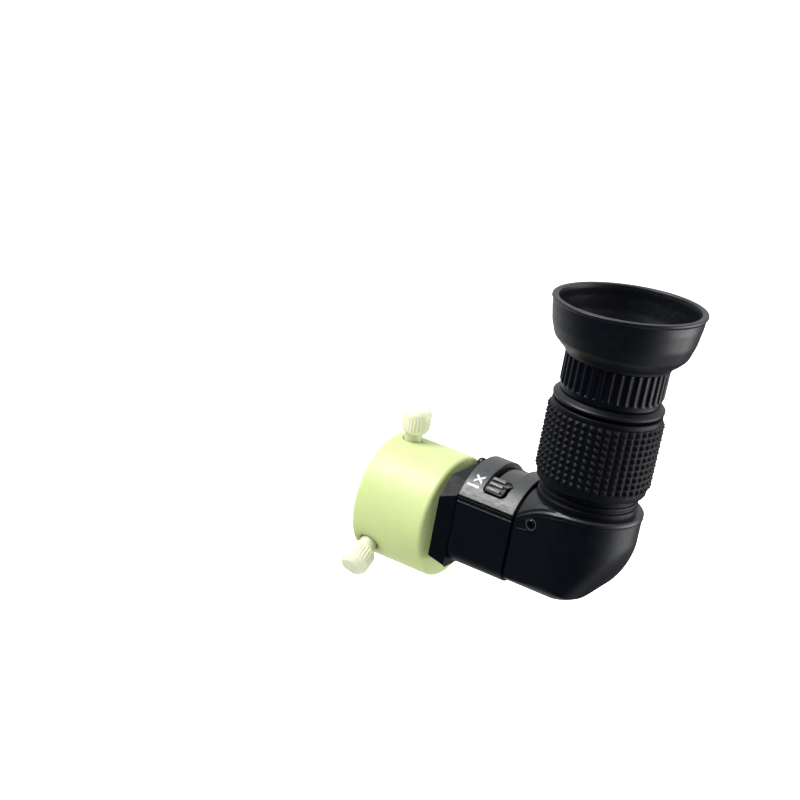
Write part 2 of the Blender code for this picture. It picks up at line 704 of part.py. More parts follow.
def make_focus_ring():
    """Turning ring with a helical groove inside, and its rubber grip."""
    profile = [(14.4, CORE_Z1), (14.4, GRIP_Z1 + GAP), (CORE_R, GRIP_Z1 + GAP), (CORE_R, CORE_Z0)]
    profile += [(CORE_BORE, CORE_Z0), (CORE_BORE, CORE_Z1)]
    core = to_mesh(turned("focus_ring", profile, steps=40))
    margin = 8.0
    turn = FOCUS_TURN + 2 * margin
    rise = FOCUS_TRAVEL * turn / FOCUS_TURN
    width = PIN_R + 0.35
    low, high = CORE_BORE - 1.0, CORE_BORE + 1.1
    corners = [(high, width), (high, -width), (low, -width), (low, width)]
    groove = helix_cutter("focus_groove", corners, turn, rise, 36)
    # Swept one way and mirrored in Y, so that turning the ring anticlockwise lifts the pin.
    groove.data.transform(Matrix.Rotation(math.radians(-margin), 4, "Z"))
    groove.data.transform(Matrix.Scale(-1.0, 4, (0.0, 1.0, 0.0)))
    groove.data.flip_normals()
    lift = GUIDE_Z - FOCUS_TRAVEL * margin / FOCUS_TURN
    groove.data.transform(Matrix.Translation((0.0, 0.0, lift * MM)))
    core = change(core, groove)
    finish_part(shade(on_eyepiece(core)), "black")
    profile = [(GRIP_R_HIGH - 0.3, GRIP_Z1), (GRIP_R_HIGH, GRIP_Z1 - 0.4), (GRIP_R_LOW, GRIP_Z0 + 2.0)]
    profile += [(GRIP_R_LOW - 0.5, GRIP_Z0), (GRIP_BORE, GRIP_Z0), (GRIP_BORE, GRIP_Z1)]
    finish_part(on_eyepiece(turned("focus_grip", profile, steps=48)), "rubber")


def make_barrel():
    """Sliding eyepiece barrel with its flange, guide pin and optics."""
    profile = [(BARREL_R, BARREL_TOP), (BARREL_R, FLANGE_CONE_Z), (FLANGE_CONE_R, FLANGE_CONE_Z)]
    profile += [(FLANGE_R - 0.1, FLANGE_Z1), (FLANGE_R, FLANGE_Z1 - 0.2), (FLANGE_R, FLANGE_Z0 + 0.2)]
    profile.append((FLANGE_R - 0.2, FLANGE_Z0))
    profile += [(10.1, FLANGE_Z0), (10.1, 30.0), (9.1, 30.0), (9.1, FLANGE_Z1), (BARREL_BORE, FLANGE_Z1)]
    profile += [(BARREL_BORE, BARREL_TOP)]
    barrel = to_mesh(on_eyepiece(turned("eyepiece_barrel", profile, steps=40)))
    hole = rod("guide_hole", PIN_R + 0.2, 6.0, 11.0, steps=12)
    place_guide(hole)
    finish_part(shade(change(barrel, hole)), "black")
    pin = rod("guide_pin", PIN_R, 9.3, CORE_BORE + 0.9, steps=12)
    place_guide(pin)
    finish_part(shade(pin), "steel")
    optics = (
        (disc("field_lens", BARREL_BORE - GAP, 47.5, 50.0), "glass"),
        (ring("lens_spacer", BARREL_BORE - GAP, 8.4, 50.3, 53.4), "black"),
        (disc("eye_lens", BARREL_BORE - GAP, 53.7, 57.4), "glass"),
        (ring("eye_lens_clip", BARREL_BORE - GAP, 8.2, 57.7, 58.9), "black"),
    )
    for obj, look in optics:
        finish_part(on_eyepiece(obj), look)


def place_guide(obj):
    """Lay a rod so that it points along +X from the eyepiece axis at the guide pin's height."""
    obj.rotation_euler = (0.0, math.pi / 2, 0.0)
    obj.location = (EYEPIECE_X * MM, 0.0, GUIDE_Z * MM)


def make_ribbed_ring():
    outline = []
    for i in range(RING_RIBS * 4):
        radius = RING_R if i % 4 < 2 else RING_R - 0.5
        turn = math.tau * (i - 0.5) / (RING_RIBS * 4)
        outline.append((radius * math.cos(turn), radius * math.sin(turn)))
    bore = BARREL_R + GAP
    inner = [(bore * math.cos(math.tau * i / 40), bore * math.sin(math.tau * i / 40)) for i in range(40)]
    collar = on_eyepiece(outline_solid("ribbed_ring", outline, RING_Z0, RING_Z1, holes=(inner,)))
    finish_part(shade(collar), "black")


def make_eyecup():
    """Soft cup whose rim leans up a little on the +X side."""
    outer = [(CUP_RIM_R - 0.5, CUP_RIM_Z), (CUP_RIM_R, CUP_RIM_Z - 0.5), (19.2, 69.6), (18.6, 66.2)]
    outer += [(17.9, 63.8), (17.0, 61.9), (15.8, 60.4), (14.7, 59.2), (14.0, CUP_Z0)]
    inner = [(BARREL_R + GAP, CUP_Z0), (BARREL_R + GAP, 60.2), (14.2, 60.9), (15.9, 62.7), (16.9, 64.6)]
    inner += [(17.6, 66.7), (18.1, 69.6), (18.6, CUP_RIM_Z)]
    cup = to_mesh(turned("eyecup", outer + inner, steps=48))
    lean = math.tan(math.radians(CUP_TILT))
    for vertex in cup.data.vertices:
        share = max(0.0, (vertex.co.z / MM - CUP_Z0 - 2.5) / (CUP_RIM_Z - CUP_Z0 - 2.5))
        vertex.co.z += vertex.co.x * lean * share
    finish_part(shade(on_eyepiece(cup), 50.0), "rubber")


make_sleeve()
for screw_place, screw_turn in SCREW_TURNS.items():
    make_thumb_screw(screw_place, screw_turn)
make_mount_plate()
make_swivel()
make_front_housing()
make_top_cover()
make_lever()
make_carriage()
make_objective()
make_elbow_shell()
make_elbow_screws()
make_elbow_lid()
make_prism()
make_base_tube()
make_focus_ring()
make_barrel()
make_ribbed_ring()
make_eyecup()
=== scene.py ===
"""Looks of the right-angle finder: fine meshes, materials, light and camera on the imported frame.

Sizes are in millimetres, in the frame's own axes: +X runs along the clamp sleeve towards the elbow,
+Z up the eyepiece. MM turns them into metres. Angles round the cover are in degrees from the top, positive
towards +Y. The thumb screws' turns are about +X, so a positive one leads from the top towards -Y.
"""

import json
import math

import bmesh
import bpy
from mathutils import Matrix, Vector


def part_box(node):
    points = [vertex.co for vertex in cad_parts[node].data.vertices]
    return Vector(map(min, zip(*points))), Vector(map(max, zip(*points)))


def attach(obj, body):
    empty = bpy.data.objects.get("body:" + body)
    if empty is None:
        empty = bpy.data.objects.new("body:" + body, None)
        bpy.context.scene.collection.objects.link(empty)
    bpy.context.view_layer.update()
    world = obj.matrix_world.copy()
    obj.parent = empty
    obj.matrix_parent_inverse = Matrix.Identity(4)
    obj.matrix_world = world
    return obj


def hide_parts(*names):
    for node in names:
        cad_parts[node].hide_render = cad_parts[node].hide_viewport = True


MM = 0.001
GAP = 0.3

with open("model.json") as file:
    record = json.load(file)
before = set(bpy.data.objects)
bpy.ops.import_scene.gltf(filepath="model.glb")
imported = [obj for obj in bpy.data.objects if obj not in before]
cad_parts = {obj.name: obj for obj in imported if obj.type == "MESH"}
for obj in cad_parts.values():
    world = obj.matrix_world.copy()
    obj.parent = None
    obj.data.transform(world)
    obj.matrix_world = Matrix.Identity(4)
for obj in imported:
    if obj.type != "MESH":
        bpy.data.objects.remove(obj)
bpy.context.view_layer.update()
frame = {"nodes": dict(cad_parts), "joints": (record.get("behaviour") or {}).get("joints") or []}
JOINTS = {joint["name"]: joint for joint in frame["joints"]}


def span(node):
    """Lowest and highest corner of a CAD node, in millimetres."""
    low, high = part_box(node)
    return low / MM, high / MM


# Driving sizes, read from the frame
AXIS_Z = JOINTS["finder_swivel"]["pos_m"][2] / MM
EYE_X = JOINTS["focus_turn"]["pos_m"][0] / MM
SLEEVE_R = span("adapter_sleeve")[1].z
SLEEVE_LENGTH = span("adapter_sleeve")[1].x
PLATE_X1 = span("mount_plate")[1].x
HOUSING_X0, HOUSING_X1 = span("front_housing")[0].x, span("front_housing")[1].x
ELBOW_X0 = span("elbow_shell")[0].x
ELBOW_FACE = ELBOW_X0 + 0.5
FLOOR_Z = span("front_housing")[0].z
HALF_WIDTH = span("front_housing")[1].y
COVER_R = span("top_cover")[1].z - AXIS_Z
ELBOW_R = span("elbow_shell")[1].y

# Sizes that the frame's boxes don't show
SOCKET_R, SOCKET_DEPTH, SPIGOT_R = 13.8, 15.5, 12.6
LIP_X, LIP_R = 20.7, 11.2       # where the sleeve's bore narrows, and the spigot's radius from there on
CONE_X = 23.6                   # end of the sleeve's conical end face, just short of the plate
SWIVEL_R, CLIP_R = 6.5, 8.0
SCREW_X, SCREW_R, SCREW_TIP = 5.1, 2.35, 13.9
HEAD_R, HEAD_BASE, HEAD_TOP = 4.0, 19.4, 26.2
LEVER_REST = -34.5
SCREW_TURNS = {"top": 0.0, "near": 126.0, "far": -126.0}
PLATE_THICK = 4.3
COVER_THICK, COVER_EDGE = 1.5, 55.4
CAVITY_R, PORT_R, WALL = 10.6, 8.3, 1.5
ELBOW_FLOOR_DEPTH = 6.5
SLOT_X0, SLOT_X1, SLOT_END = 34.1, 40.8, 44.7
STEM_X0, STEM_X1 = 34.4, 34.9
SLOPE_ANGLE, SLOPE_FOOT, SLOPE_ROUND = math.radians(50.0), 4.6, 4.8
ELBOW_SCREW_X, ELBOW_SCREW_Z, ELBOW_HOLE_R = 50.9, 12.8, 1.55
LID_TOP, DISC_R, LID_EASE = 18.8, 15.1, 3.0
NECK_R, TUBE_R, TUBE_BORE = 13.2, 11.6, 10.4
GRIP_COLUMNS, GRIP_ROWS = 44, 10
RIB_COUNT = 36
TOOL_REACH = 40.0               # reach of the tools that trim away a whole side


# ---------------------------------------------------------------- mesh helpers

def add_object(name, data):
    """A scene object for a mesh, curve, light or camera."""
    obj = bpy.data.objects.new(name, data)
    bpy.context.scene.collection.objects.link(obj)
    return obj


def new_object(name, verts, faces):
    """A mesh object from points in millimetres, welded, with its faces pointing out."""
    mesh = bpy.data.meshes.new(name)
    mesh.from_pydata([tuple(c * MM for c in v) for v in verts], [], faces)
    body = bmesh.new()
    body.from_mesh(mesh)
    bmesh.ops.remove_doubles(body, verts=body.verts, dist=0.000001)
    bmesh.ops.dissolve_degenerate(body, edges=body.edges, dist=0.0000005)
    bmesh.ops.recalc_face_normals(body, faces=body.faces)
    body.to_mesh(mesh)
    body.free()
    return add_object(name, mesh)


def rounded(corners, steps=4):
    """A closed outline from (x, y, radius) corners, with an arc at each corner."""
    points = []
    for i, (x, y, radius) in enumerate(corners):
        here = Vector((x, y))
        back = (Vector(corners[i - 1][:2]) - here).normalized()
        ahead = (Vector(corners[(i + 1) % len(corners)][:2]) - here).normalized()
        half = back.angle(ahead) / 2
        if radius == 0.0 or half > math.radians(89.0):
            points.append((x, y))
            continue
        centre = here + (back + ahead).normalized() * radius / math.sin(half)
        start = here + back * radius / math.tan(half) - centre
        stop = here + ahead * radius / math.tan(half) - centre
        first = math.atan2(start.y, start.x)
        sweep = math.remainder(math.atan2(stop.y, stop.x) - first, math.tau)
        for k in range(steps + 1):
            turn = first + sweep * k / steps
            points.append((centre.x + radius * math.cos(turn), centre.y + radius * math.sin(turn)))
    return points


def divided(outline, longest):
    """The same outline with its long edges divided."""
    points = []
    for i, (x, y) in enumerate(outline):
        nx, ny = outline[(i + 1) % len(outline)]
        parts = max(1, math.ceil(math.hypot(nx - x, ny - y) / longest))
        points += [(x + (nx - x) * k / parts, y + (ny - y) * k / parts) for k in range(parts)]
    return points


def skin(name, loops):
    """A skin over a ring of closed loops, the last one joined to the first."""
    count = len(loops[0])
    faces = []
    for k in range(len(loops)):
        here, there = k * count, (k + 1) % len(loops) * count
        for i in range(count):
            j = (i + 1) % count
            faces.append((here + i, here + j, there + j, there + i))
    return new_object(name, [point for loop in loops for point in loop], faces)


def lathe(name, outline, steps=128, shape=None):
    """A closed (r, z) outline turned about local Z. shape(r, z, turn) may move each point."""
    loops = []
    for k in range(steps):
        turn = math.tau * k / steps
        loop = []
        for r, z in outline:
            radius, height = shape(r, z, turn) if shape else (r, z)
            loop.append((radius * math.cos(turn), radius * math.sin(turn), height))
        loops.append(loop)
    return skin(name, loops)


def point_along_x(obj, centre_z=0.0):
    """Turn a shape built along local Z so that it runs along +X."""
    obj.rotation_euler = (0.0, math.pi / 2, 0.0)
    obj.location = (0.0, 0.0, centre_z * MM)
    return obj


def on_eyepiece(obj):
    """Put a shape built along local Z on the eyepiece's axis."""
    obj.location.x = EYE_X * MM
    return obj


def at_thumb_screw(obj, turn):
    """Put a shape built along local Z where a thumb screw stands on the sleeve."""
    obj.location = (SCREW_X * MM, 0.0, 0.0)
    obj.rotation_euler = (math.radians(turn), 0.0, 0.0)
    return obj


def at_elbow_screw(obj, side):
    """Point a shape built along local Z out through one side of the elbow, at its screw."""
    obj.rotation_euler = (side * -math.pi / 2, 0.0, 0.0)
    obj.location = (ELBOW_SCREW_X * MM, 0.0, ELBOW_SCREW_Z * MM)
    return obj


def solid_between(name, first, last):
    """A solid between two flat closed loops with the same number of points."""
    count = len(first)
    faces = [tuple(range(count)), tuple(range(count, 2 * count))]
    faces += [(i, (i + 1) % count, count + (i + 1) % count, count + i) for i in range(count)]
    return new_object(name, first + last, faces)


def block(name, outline, low, high):
    """A flat (x, y) outline given thickness along Z."""
    return solid_between(name, [(x, y, low) for x, y in outline], [(x, y, high) for x, y in outline])


def rectangle(half_x, half_y):
    """An outline round the origin."""
    return [(-half_x, -half_y), (half_x, -half_y), (half_x, half_y), (-half_x, half_y)]


def section(name, outline, x0, x1):
    """A (y, z) outline given length along X."""
    obj = block(name, outline, x0, x1)
    obj.data.transform(Matrix(((0, 0, 1, 0), (1, 0, 0, 0), (0, 1, 0, 0), (0, 0, 0, 1))))
    return obj


def side_view(name, outline, half_width):
    """An (x, z) outline given width across Y."""
    obj = block(name, outline, -half_width, half_width)
    obj.data.transform(Matrix(((1, 0, 0, 0), (0, 0, -1, 0), (0, 1, 0, 0), (0, 0, 0, 1))))
    return obj


def cylinder(name, radius, low, high, steps=96):
    """A solid cylinder along local Z, used as a tool."""
    outline = [(radius * math.cos(math.tau * i / steps), radius * math.sin(math.tau * i / steps))
               for i in range(steps)]
    return block(name, outline, low, high)


def bar_along_x(name, radius, x0, x1, centre_z=0.0):
    """A solid cylinder along +X."""
    return point_along_x(cylinder(name, radius, x0, x1), centre_z)


def to_mesh(obj):
    """Apply an object's modifiers and its place."""
    bpy.context.view_layer.update()
    evaluated = obj.evaluated_get(bpy.context.evaluated_depsgraph_get())
    mesh = bpy.data.meshes.new_from_object(evaluated)
    mesh.transform(obj.matrix_world)
    name = obj.name
    bpy.data.objects.remove(obj, do_unlink=True)
    return add_object(name, mesh)


def change(obj, tool, operation="DIFFERENCE"):
    """Cut, join or intersect two solids."""
    modifier = obj.modifiers.new("change", "BOOLEAN")
    modifier.operation = operation
    modifier.object = tool
    modifier.solver = "EXACT"
    result = to_mesh(obj)
    bpy.data.objects.remove(tool, do_unlink=True)
    return result


def join(obj, *others):
    """Put several meshes in one object."""
    body = bmesh.new()
    for part in (obj, *others):
        bpy.context.view_layer.update()
        mesh = part.data.copy()
        mesh.transform(part.matrix_world)
        body.from_mesh(mesh)
    for part in others:
        bpy.data.objects.remove(part, do_unlink=True)
    body.to_mesh(obj.data)
    body.free()
    obj.matrix_world = Matrix.Identity(4)
    return obj


def bevel(obj, width, angle=35.0):
    """Round the edges of a piece that are sharper than an angle in degrees."""
    modifier = obj.modifiers.new("soften", "BEVEL")
    modifier.width = width * MM
    modifier.segments = 3
    modifier.limit_method = "ANGLE"
    modifier.angle_limit = math.radians(angle)
    modifier.harden_normals = True
    return obj


def melt(obj, voxel, passes):
    """Blend a solid's corners: an even remesh, then smoothing."""
    remesh = obj.modifiers.new("even", "REMESH")
    remesh.mode = "VOXEL"
    remesh.voxel_size = voxel * MM
    smooth = obj.modifiers.new("melt", "SMOOTH")
    smooth.factor = 0.5
    smooth.iterations = passes
    return to_mesh(obj)


def bend(obj, arc_step=1.0):
    """Wrap a flat piece, (arc length, x, height above the cover), round the arch."""
    body = bmesh.new()
    body.from_mesh(obj.data)
    lengths = [vertex.co.x for vertex in body.verts]
    low, high = min(lengths), max(lengths)
    cuts = max(1, math.ceil((high - low) / (arc_step * MM)))
    for k in range(1, cuts):
        cut = low + (high - low) * k / cuts
        everything = body.verts[:] + body.edges[:] + body.faces[:]
        bmesh.ops.bisect_plane(body, geom=everything, plane_co=(cut, 0, 0), plane_no=(1, 0, 0))
    for vertex in body.verts:
        turn = vertex.co.x / (COVER_R * MM)
        radius = COVER_R * MM + vertex.co.z
        vertex.co = (vertex.co.y, radius * math.sin(turn), AXIS_Z * MM + radius * math.cos(turn))
    bmesh.ops.recalc_face_normals(body, faces=body.faces)
    body.to_mesh(obj.data)
    body.free()
    return obj


def bead(name, points, radius, closed=False):
    """A fine raised line along a route."""
    curve = bpy.data.curves.new(name, "CURVE")
    curve.dimensions = "3D"
    curve.bevel_depth = radius * MM
    curve.bevel_resolution = 3
    curve.use_fill_caps = True
    spline = curve.splines.new("POLY")
    spline.points.add(len(points) - 1)
    for point, place in zip(spline.points, points):
        point.co = (*(c * MM for c in place), 1.0)
    spline.use_cyclic_u = closed
    return to_mesh(add_object(name, curve))


def smoothstep(value, low, high):
    """0 below low, 1 above high, and an even ease between them."""
    share = min(1.0, max(0.0, (value - low) / (high - low)))
    return share * share * (3.0 - 2.0 * share)


def arch_point(radius, angle):
    """(y, z) at an angle from the top, round the finder's axis."""
    turn = math.radians(angle)
    return (radius * math.sin(turn), AXIS_Z + radius * math.cos(turn))


# ---------------------------------------------------------------- materials

NOISE_LOW, NOISE_HIGH = 0.3, 0.7    # where nearly all of a noise texture's values lie


def set_inputs(node, values):
    """Set several of a node's inputs."""
    for name, value in values.items():
        node.inputs[name].default_value = value


def map_range(tree, source, start, stop, low, high, easing="LINEAR"):
    """Map the range from start to stop onto the one from low to high."""
    node = tree.nodes.new("ShaderNodeMapRange")
    node.interpolation_type = easing
    set_inputs(node, {"From Min": start, "From Max": stop, "To Min": low, "To Max": high})
    tree.links.new(source, node.inputs["Value"])
    return node.outputs["Result"]


class Look:
    """A Principled material with a few procedural layers."""

    def __init__(self, name, color, rough, metallic=0.0, specular=0.5):
        self.material = bpy.data.materials.new(name)
        self.material.use_nodes = True
        self.tree = self.material.node_tree
        self.shader = self.tree.nodes["Principled BSDF"]
        self.color = color
        set_inputs(self.shader, {"Base Color": (*color, 1.0), "Roughness": rough, "Metallic": metallic,
                                 "Specular IOR Level": specular})
        self.place = self.tree.nodes.new("ShaderNodeTexCoord").outputs["Object"]
        self.normal = None

    def noise(self, size, detail=3.0, stretch=(1.0, 1.0, 1.0)):
        """Noise whose grains are about size millimetres, longer along a stretched axis."""
        mapping = self.tree.nodes.new("ShaderNodeMapping")
        mapping.inputs["Scale"].default_value = [1.0 / s for s in stretch]
        self.tree.links.new(self.place, mapping.inputs["Vector"])
        texture = self.tree.nodes.new("ShaderNodeTexNoise")
        set_inputs(texture, {"Scale": 1.0 / (size * MM), "Detail": detail})
        self.tree.links.new(mapping.outputs["Vector"], texture.inputs["Vector"])
        return texture.outputs["Fac"]

    def between(self, source, low, high):
        """Map a noise to a range of values."""
        return map_range(self.tree, source, NOISE_LOW, NOISE_HIGH, low, high)

    def vary_roughness(self, source, low, high):
        """Let the roughness drift between two values."""
        self.tree.links.new(self.between(source, low, high), self.shader.inputs["Roughness"])
        return self

    def vary_color(self, source, other, amount):
        """Let the colour drift towards another one, by up to amount."""
        mix = self.tree.nodes.new("ShaderNodeMix")
        mix.data_type = "RGBA"
        mix.inputs["A"].default_value = (*self.color, 1.0)
        mix.inputs["B"].default_value = (*other, 1.0)
        self.tree.links.new(self.between(source, 0.0, amount), mix.inputs["Factor"])
        self.tree.links.new(mix.outputs["Result"], self.shader.inputs["Base Color"])
        return self

    def bump(self, source, height, strength):
        """Raise the surface by up to height millimetres."""
        node = self.tree.nodes.new("ShaderNodeBump")
        set_inputs(node, {"Strength": strength, "Distance": height * MM})
        self.tree.links.new(source, node.inputs["Height"])
        if self.normal:
            self.tree.links.new(self.normal, node.inputs["Normal"])
        self.normal = node.outputs["Normal"]
        self.tree.links.new(self.normal, self.shader.inputs["Normal"])
        return self

    def scatter(self, weight, radii, depth):
        """Light that travels under the surface, to a depth in millimetres."""
        set_inputs(self.shader, {"Subsurface Weight": weight, "Subsurface Radius": radii,
                                 "Subsurface Scale": depth * MM})
        return self


def resin_look():
    """Pale green cast resin: cloudy, softly translucent, with faint turning lines."""
    look = Look("sleeve_resin", (0.63, 0.72, 0.34), 0.42)
    look.vary_color(look.noise(7.0, 2.0), (0.59, 0.69, 0.30), 0.7)
    look.vary_roughness(look.noise(1.2), 0.36, 0.50)
    look.bump(look.noise(0.35, 2.0, (0.25, 3.0, 3.0)), 0.006, 0.5)
    look.bump(look.noise(0.18), 0.005, 0.5)
    return look.scatter(0.45, (0.9, 1.0, 0.45), 3.0).material


def nylon_look():
    """Natural nylon: whiter, waxy and more translucent."""
    look = Look("screw_nylon", (0.82, 0.84, 0.65), 0.38)
    look.vary_color(look.noise(2.5, 2.0), (0.77, 0.79, 0.55), 0.7)
    look.vary_roughness(look.noise(0.8), 0.32, 0.46)
    look.bump(look.noise(0.25), 0.008, 0.5)
    return look.scatter(0.6, (1.0, 1.0, 0.6), 2.5).material


def black_look(name, rough, grain, specular):
    """Moulded black plastic: a fine spark-eroded grain with slightly uneven gloss."""
    look = Look(name, (0.0010, 0.0016, 0.0042), rough, 0.0, specular)
    look.vary_color(look.noise(3.0), (0.0018, 0.0026, 0.0056), 0.8)
    look.vary_roughness(look.noise(0.9), rough - 0.05, rough + 0.07)
    look.bump(look.noise(0.16, 2.0), grain, 0.5)
    look.bump(look.noise(2.2, 2.0), grain * 1.5, 0.2)
    return look.material


def gray_look():
    """Satin gray coat on the cover: fine drawn lines along X, and small scuffs."""
    look = Look("gray_satin", (0.040, 0.042, 0.043), 0.42)
    look.vary_color(look.noise(0.8, 4.0, (2.0, 1.0, 1.0)), (0.066, 0.068, 0.070), 0.9)
    look.vary_roughness(look.noise(0.5, 3.0, (3.0, 1.0, 1.0)), 0.27, 0.47)
    look.bump(look.noise(0.10, 2.0, (5.0, 1.0, 1.0)), 0.006, 0.6)
    look.bump(look.noise(1.4, 3.0), 0.012, 0.35)
    return look.material


def painted_highlight_look():
    """Pale gray on the black knob's ribs: a painted highlight that stands in for the light along the ribs."""
    look = Look("knob_rib_painted_highlight", (0.20, 0.20, 0.205), 0.34)
    look.vary_color(look.noise(0.6, 3.0), (0.11, 0.11, 0.115), 0.9)
    look.vary_roughness(look.noise(0.4), 0.28, 0.44)
    return look.material


def rubber_look(name, rough, specular):
    """Black rubber: matt, with a dusty bloom and a fine moulded grain."""
    look = Look(name, (0.0014, 0.0019, 0.0042), rough, 0.0, specular)
    look.vary_color(look.noise(2.0, 4.0), (0.0034, 0.0041, 0.0074), 0.8)
    look.vary_roughness(look.noise(0.7), rough - 0.07, rough + 0.08)
    look.bump(look.noise(0.22, 3.0), 0.015, 0.6)
    return look.material


def steel_look():
    """Steel with an uneven gloss and a fine grain."""
    look = Look("steel", (0.36, 0.36, 0.37), 0.3, 1.0)
    look.vary_roughness(look.noise(0.3), 0.22, 0.42)
    look.bump(look.noise(0.12), 0.004, 0.5)
    return look.material


def brass_look():
    """Brass, slightly tarnished, with fine drawn lines."""
    look = Look("brass", (0.62, 0.42, 0.15), 0.3, 1.0)
    look.vary_color(look.noise(1.5), (0.48, 0.31, 0.11), 0.8)
    look.vary_roughness(look.noise(0.3, 3.0, (1.0, 1.0, 4.0)), 0.24, 0.42)
    look.bump(look.noise(0.1, 2.0, (1.0, 1.0, 6.0)), 0.004, 0.5)
    return look.material


def glass_look():
    """Coated optical glass, with a little dust on it."""
    look = Look("glass", (0.86, 0.92, 0.95), 0.03)
    set_inputs(look.shader, {"IOR": 1.52, "Transmission Weight": 0.95, "Coat Weight": 0.6,
                             "Coat Tint": (0.55, 0.75, 0.95, 1.0)})
    look.vary_roughness(look.noise(1.5, 4.0), 0.01, 0.06)
    return look.material


def paint_look():
    """White marking paint, slightly uneven."""
    look = Look("white_paint", (0.80, 0.80, 0.80), 0.5)
    look.vary_color(look.noise(0.3), (0.66, 0.66, 0.66), 0.8)
    look.bump(look.noise(0.12), 0.004, 0.5)
    return look.material


LOOKS = {
    "resin": resin_look(),
    "nylon": nylon_look(),
    "black": black_look("black_satin", 0.40, 0.006, 0.35),
    "matt": black_look("black_matt", 0.48, 0.006, 0.2),
    "lid": black_look("lid_satin", 0.36, 0.004, 0.55),
    "ribs": black_look("rib_gloss", 0.36, 0.0008, 0.28),
    "gloss": black_look("black_gloss", 0.27, 0.0012, 0.38),
    "gray": gray_look(),
    # painted highlight: a pale gray colour for the knob's ribs
    "painted_highlight": painted_highlight_look(),
    "rubber": rubber_look("grip_rubber", 0.52, 0.20),
    "soft": rubber_look("cup_rubber", 0.38, 0.46),
    "steel": steel_look(),
    "brass": brass_look(),
    "glass": glass_look(),
    "paint": paint_look(),
}


def finish_piece(obj, look, body, replaced=(), sharp=35.0):
    """Shade a piece, give it its material, make it ride on its body, and hide the CAD nodes that it replaces.
    """
    obj.data.shade_smooth()
    obj.data.set_sharp_from_angle(angle=math.radians(sharp))
    obj.data.materials.clear()
    obj.data.materials.append(LOOKS[look])
    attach(obj, body)
    if replaced:
        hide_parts(*replaced)
    return obj


# ---------------------------------------------------------------- clamp sleeve and thumb screws

def make_sleeve():
    """Clamp sleeve: a socket, a narrower bore for the spigot, and a conical end face."""
    bore = SPIGOT_R + GAP
    corners = [(SOCKET_R, 0.0, 0.6), (SLEEVE_R, 0.0, 0.8), (SLEEVE_R, SLEEVE_LENGTH, 1.2)]
    corners += [(LIP_R + GAP, CONE_X, 0.2), (LIP_R + GAP, LIP_X, 0.1), (bore, LIP_X, 0.1)]
    corners += [(bore, SOCKET_DEPTH, 0.15), (SOCKET_R, SOCKET_DEPTH, 0.3)]
    sleeve = lathe("sleeve", divided(rounded(corners, 6), 1.2), 160)
    sleeve = to_mesh(point_along_x(sleeve))
    sink_r = SCREW_R + 0.9
    drill = [(0.0, 11.0, 0.0), (SCREW_R + GAP, 11.0, 0.0), (SCREW_R + GAP, 16.6, 0.2)]
    drill += [(sink_r, 17.4, 0.0), (sink_r, 20.0, 0.0), (0.0, 20.0, 0.0)]
    for turn in SCREW_TURNS.values():
        sleeve = change(sleeve, at_thumb_screw(lathe("hole", rounded(drill), 48), turn))
    finish_piece(sleeve, "resin", "adapter", ["adapter_sleeve"], 40.0)


def screw_shape(r, z, turn):
    """Ribs round the head's lower part, and a fine thread on the shank."""
    ribs, rib_depth, ribs_end = 28, 0.28, 23.4
    pitch, thread_depth = 0.8, 0.22
    if r > HEAD_R - 0.3:
        band = smoothstep(z, HEAD_BASE + 0.5, HEAD_BASE + 1.1) * (1.0 - smoothstep(z, ribs_end, 23.9))
        return r - rib_depth * band * (0.5 - 0.5 * math.cos(ribs * turn)), z
    if SCREW_R - 0.05 < r < SCREW_R + 0.05 and z < SLEEVE_R - 0.5:
        wave = 0.5 - 0.5 * math.cos(math.tau * (z / pitch) - turn)
        return r - thread_depth * wave, z
    return r, z


def make_thumb_screw(place, turn):
    """Nylon screw: a ribbed head with a dished end, on a threaded shank."""
    high, base, low = HEAD_TOP, HEAD_BASE, SCREW_TIP
    corners = [(0.0, high - 0.3, 0.0), (2.2, high - 0.3, 0.25), (2.5, high, 0.2), (3.1, high, 0.6)]
    corners += [(HEAD_R, high - 1.3, 1.0), (HEAD_R, base + 1.1, 0.6), (3.3, base, 0.35), (SCREW_R, base, 0.2)]
    corners += [(SCREW_R, low + 0.4, 0.0), (SCREW_R - 0.5, low, 0.1), (0.0, low, 0.0)]
    screw = lathe("screw_" + place, divided(rounded(corners, 5), 0.2), 240, screw_shape)
    finish_piece(at_thumb_screw(screw, turn), "nylon", "screw_" + place, ["thumb_screw_" + place], 50.0)


# ---------------------------------------------------------------- mount plate

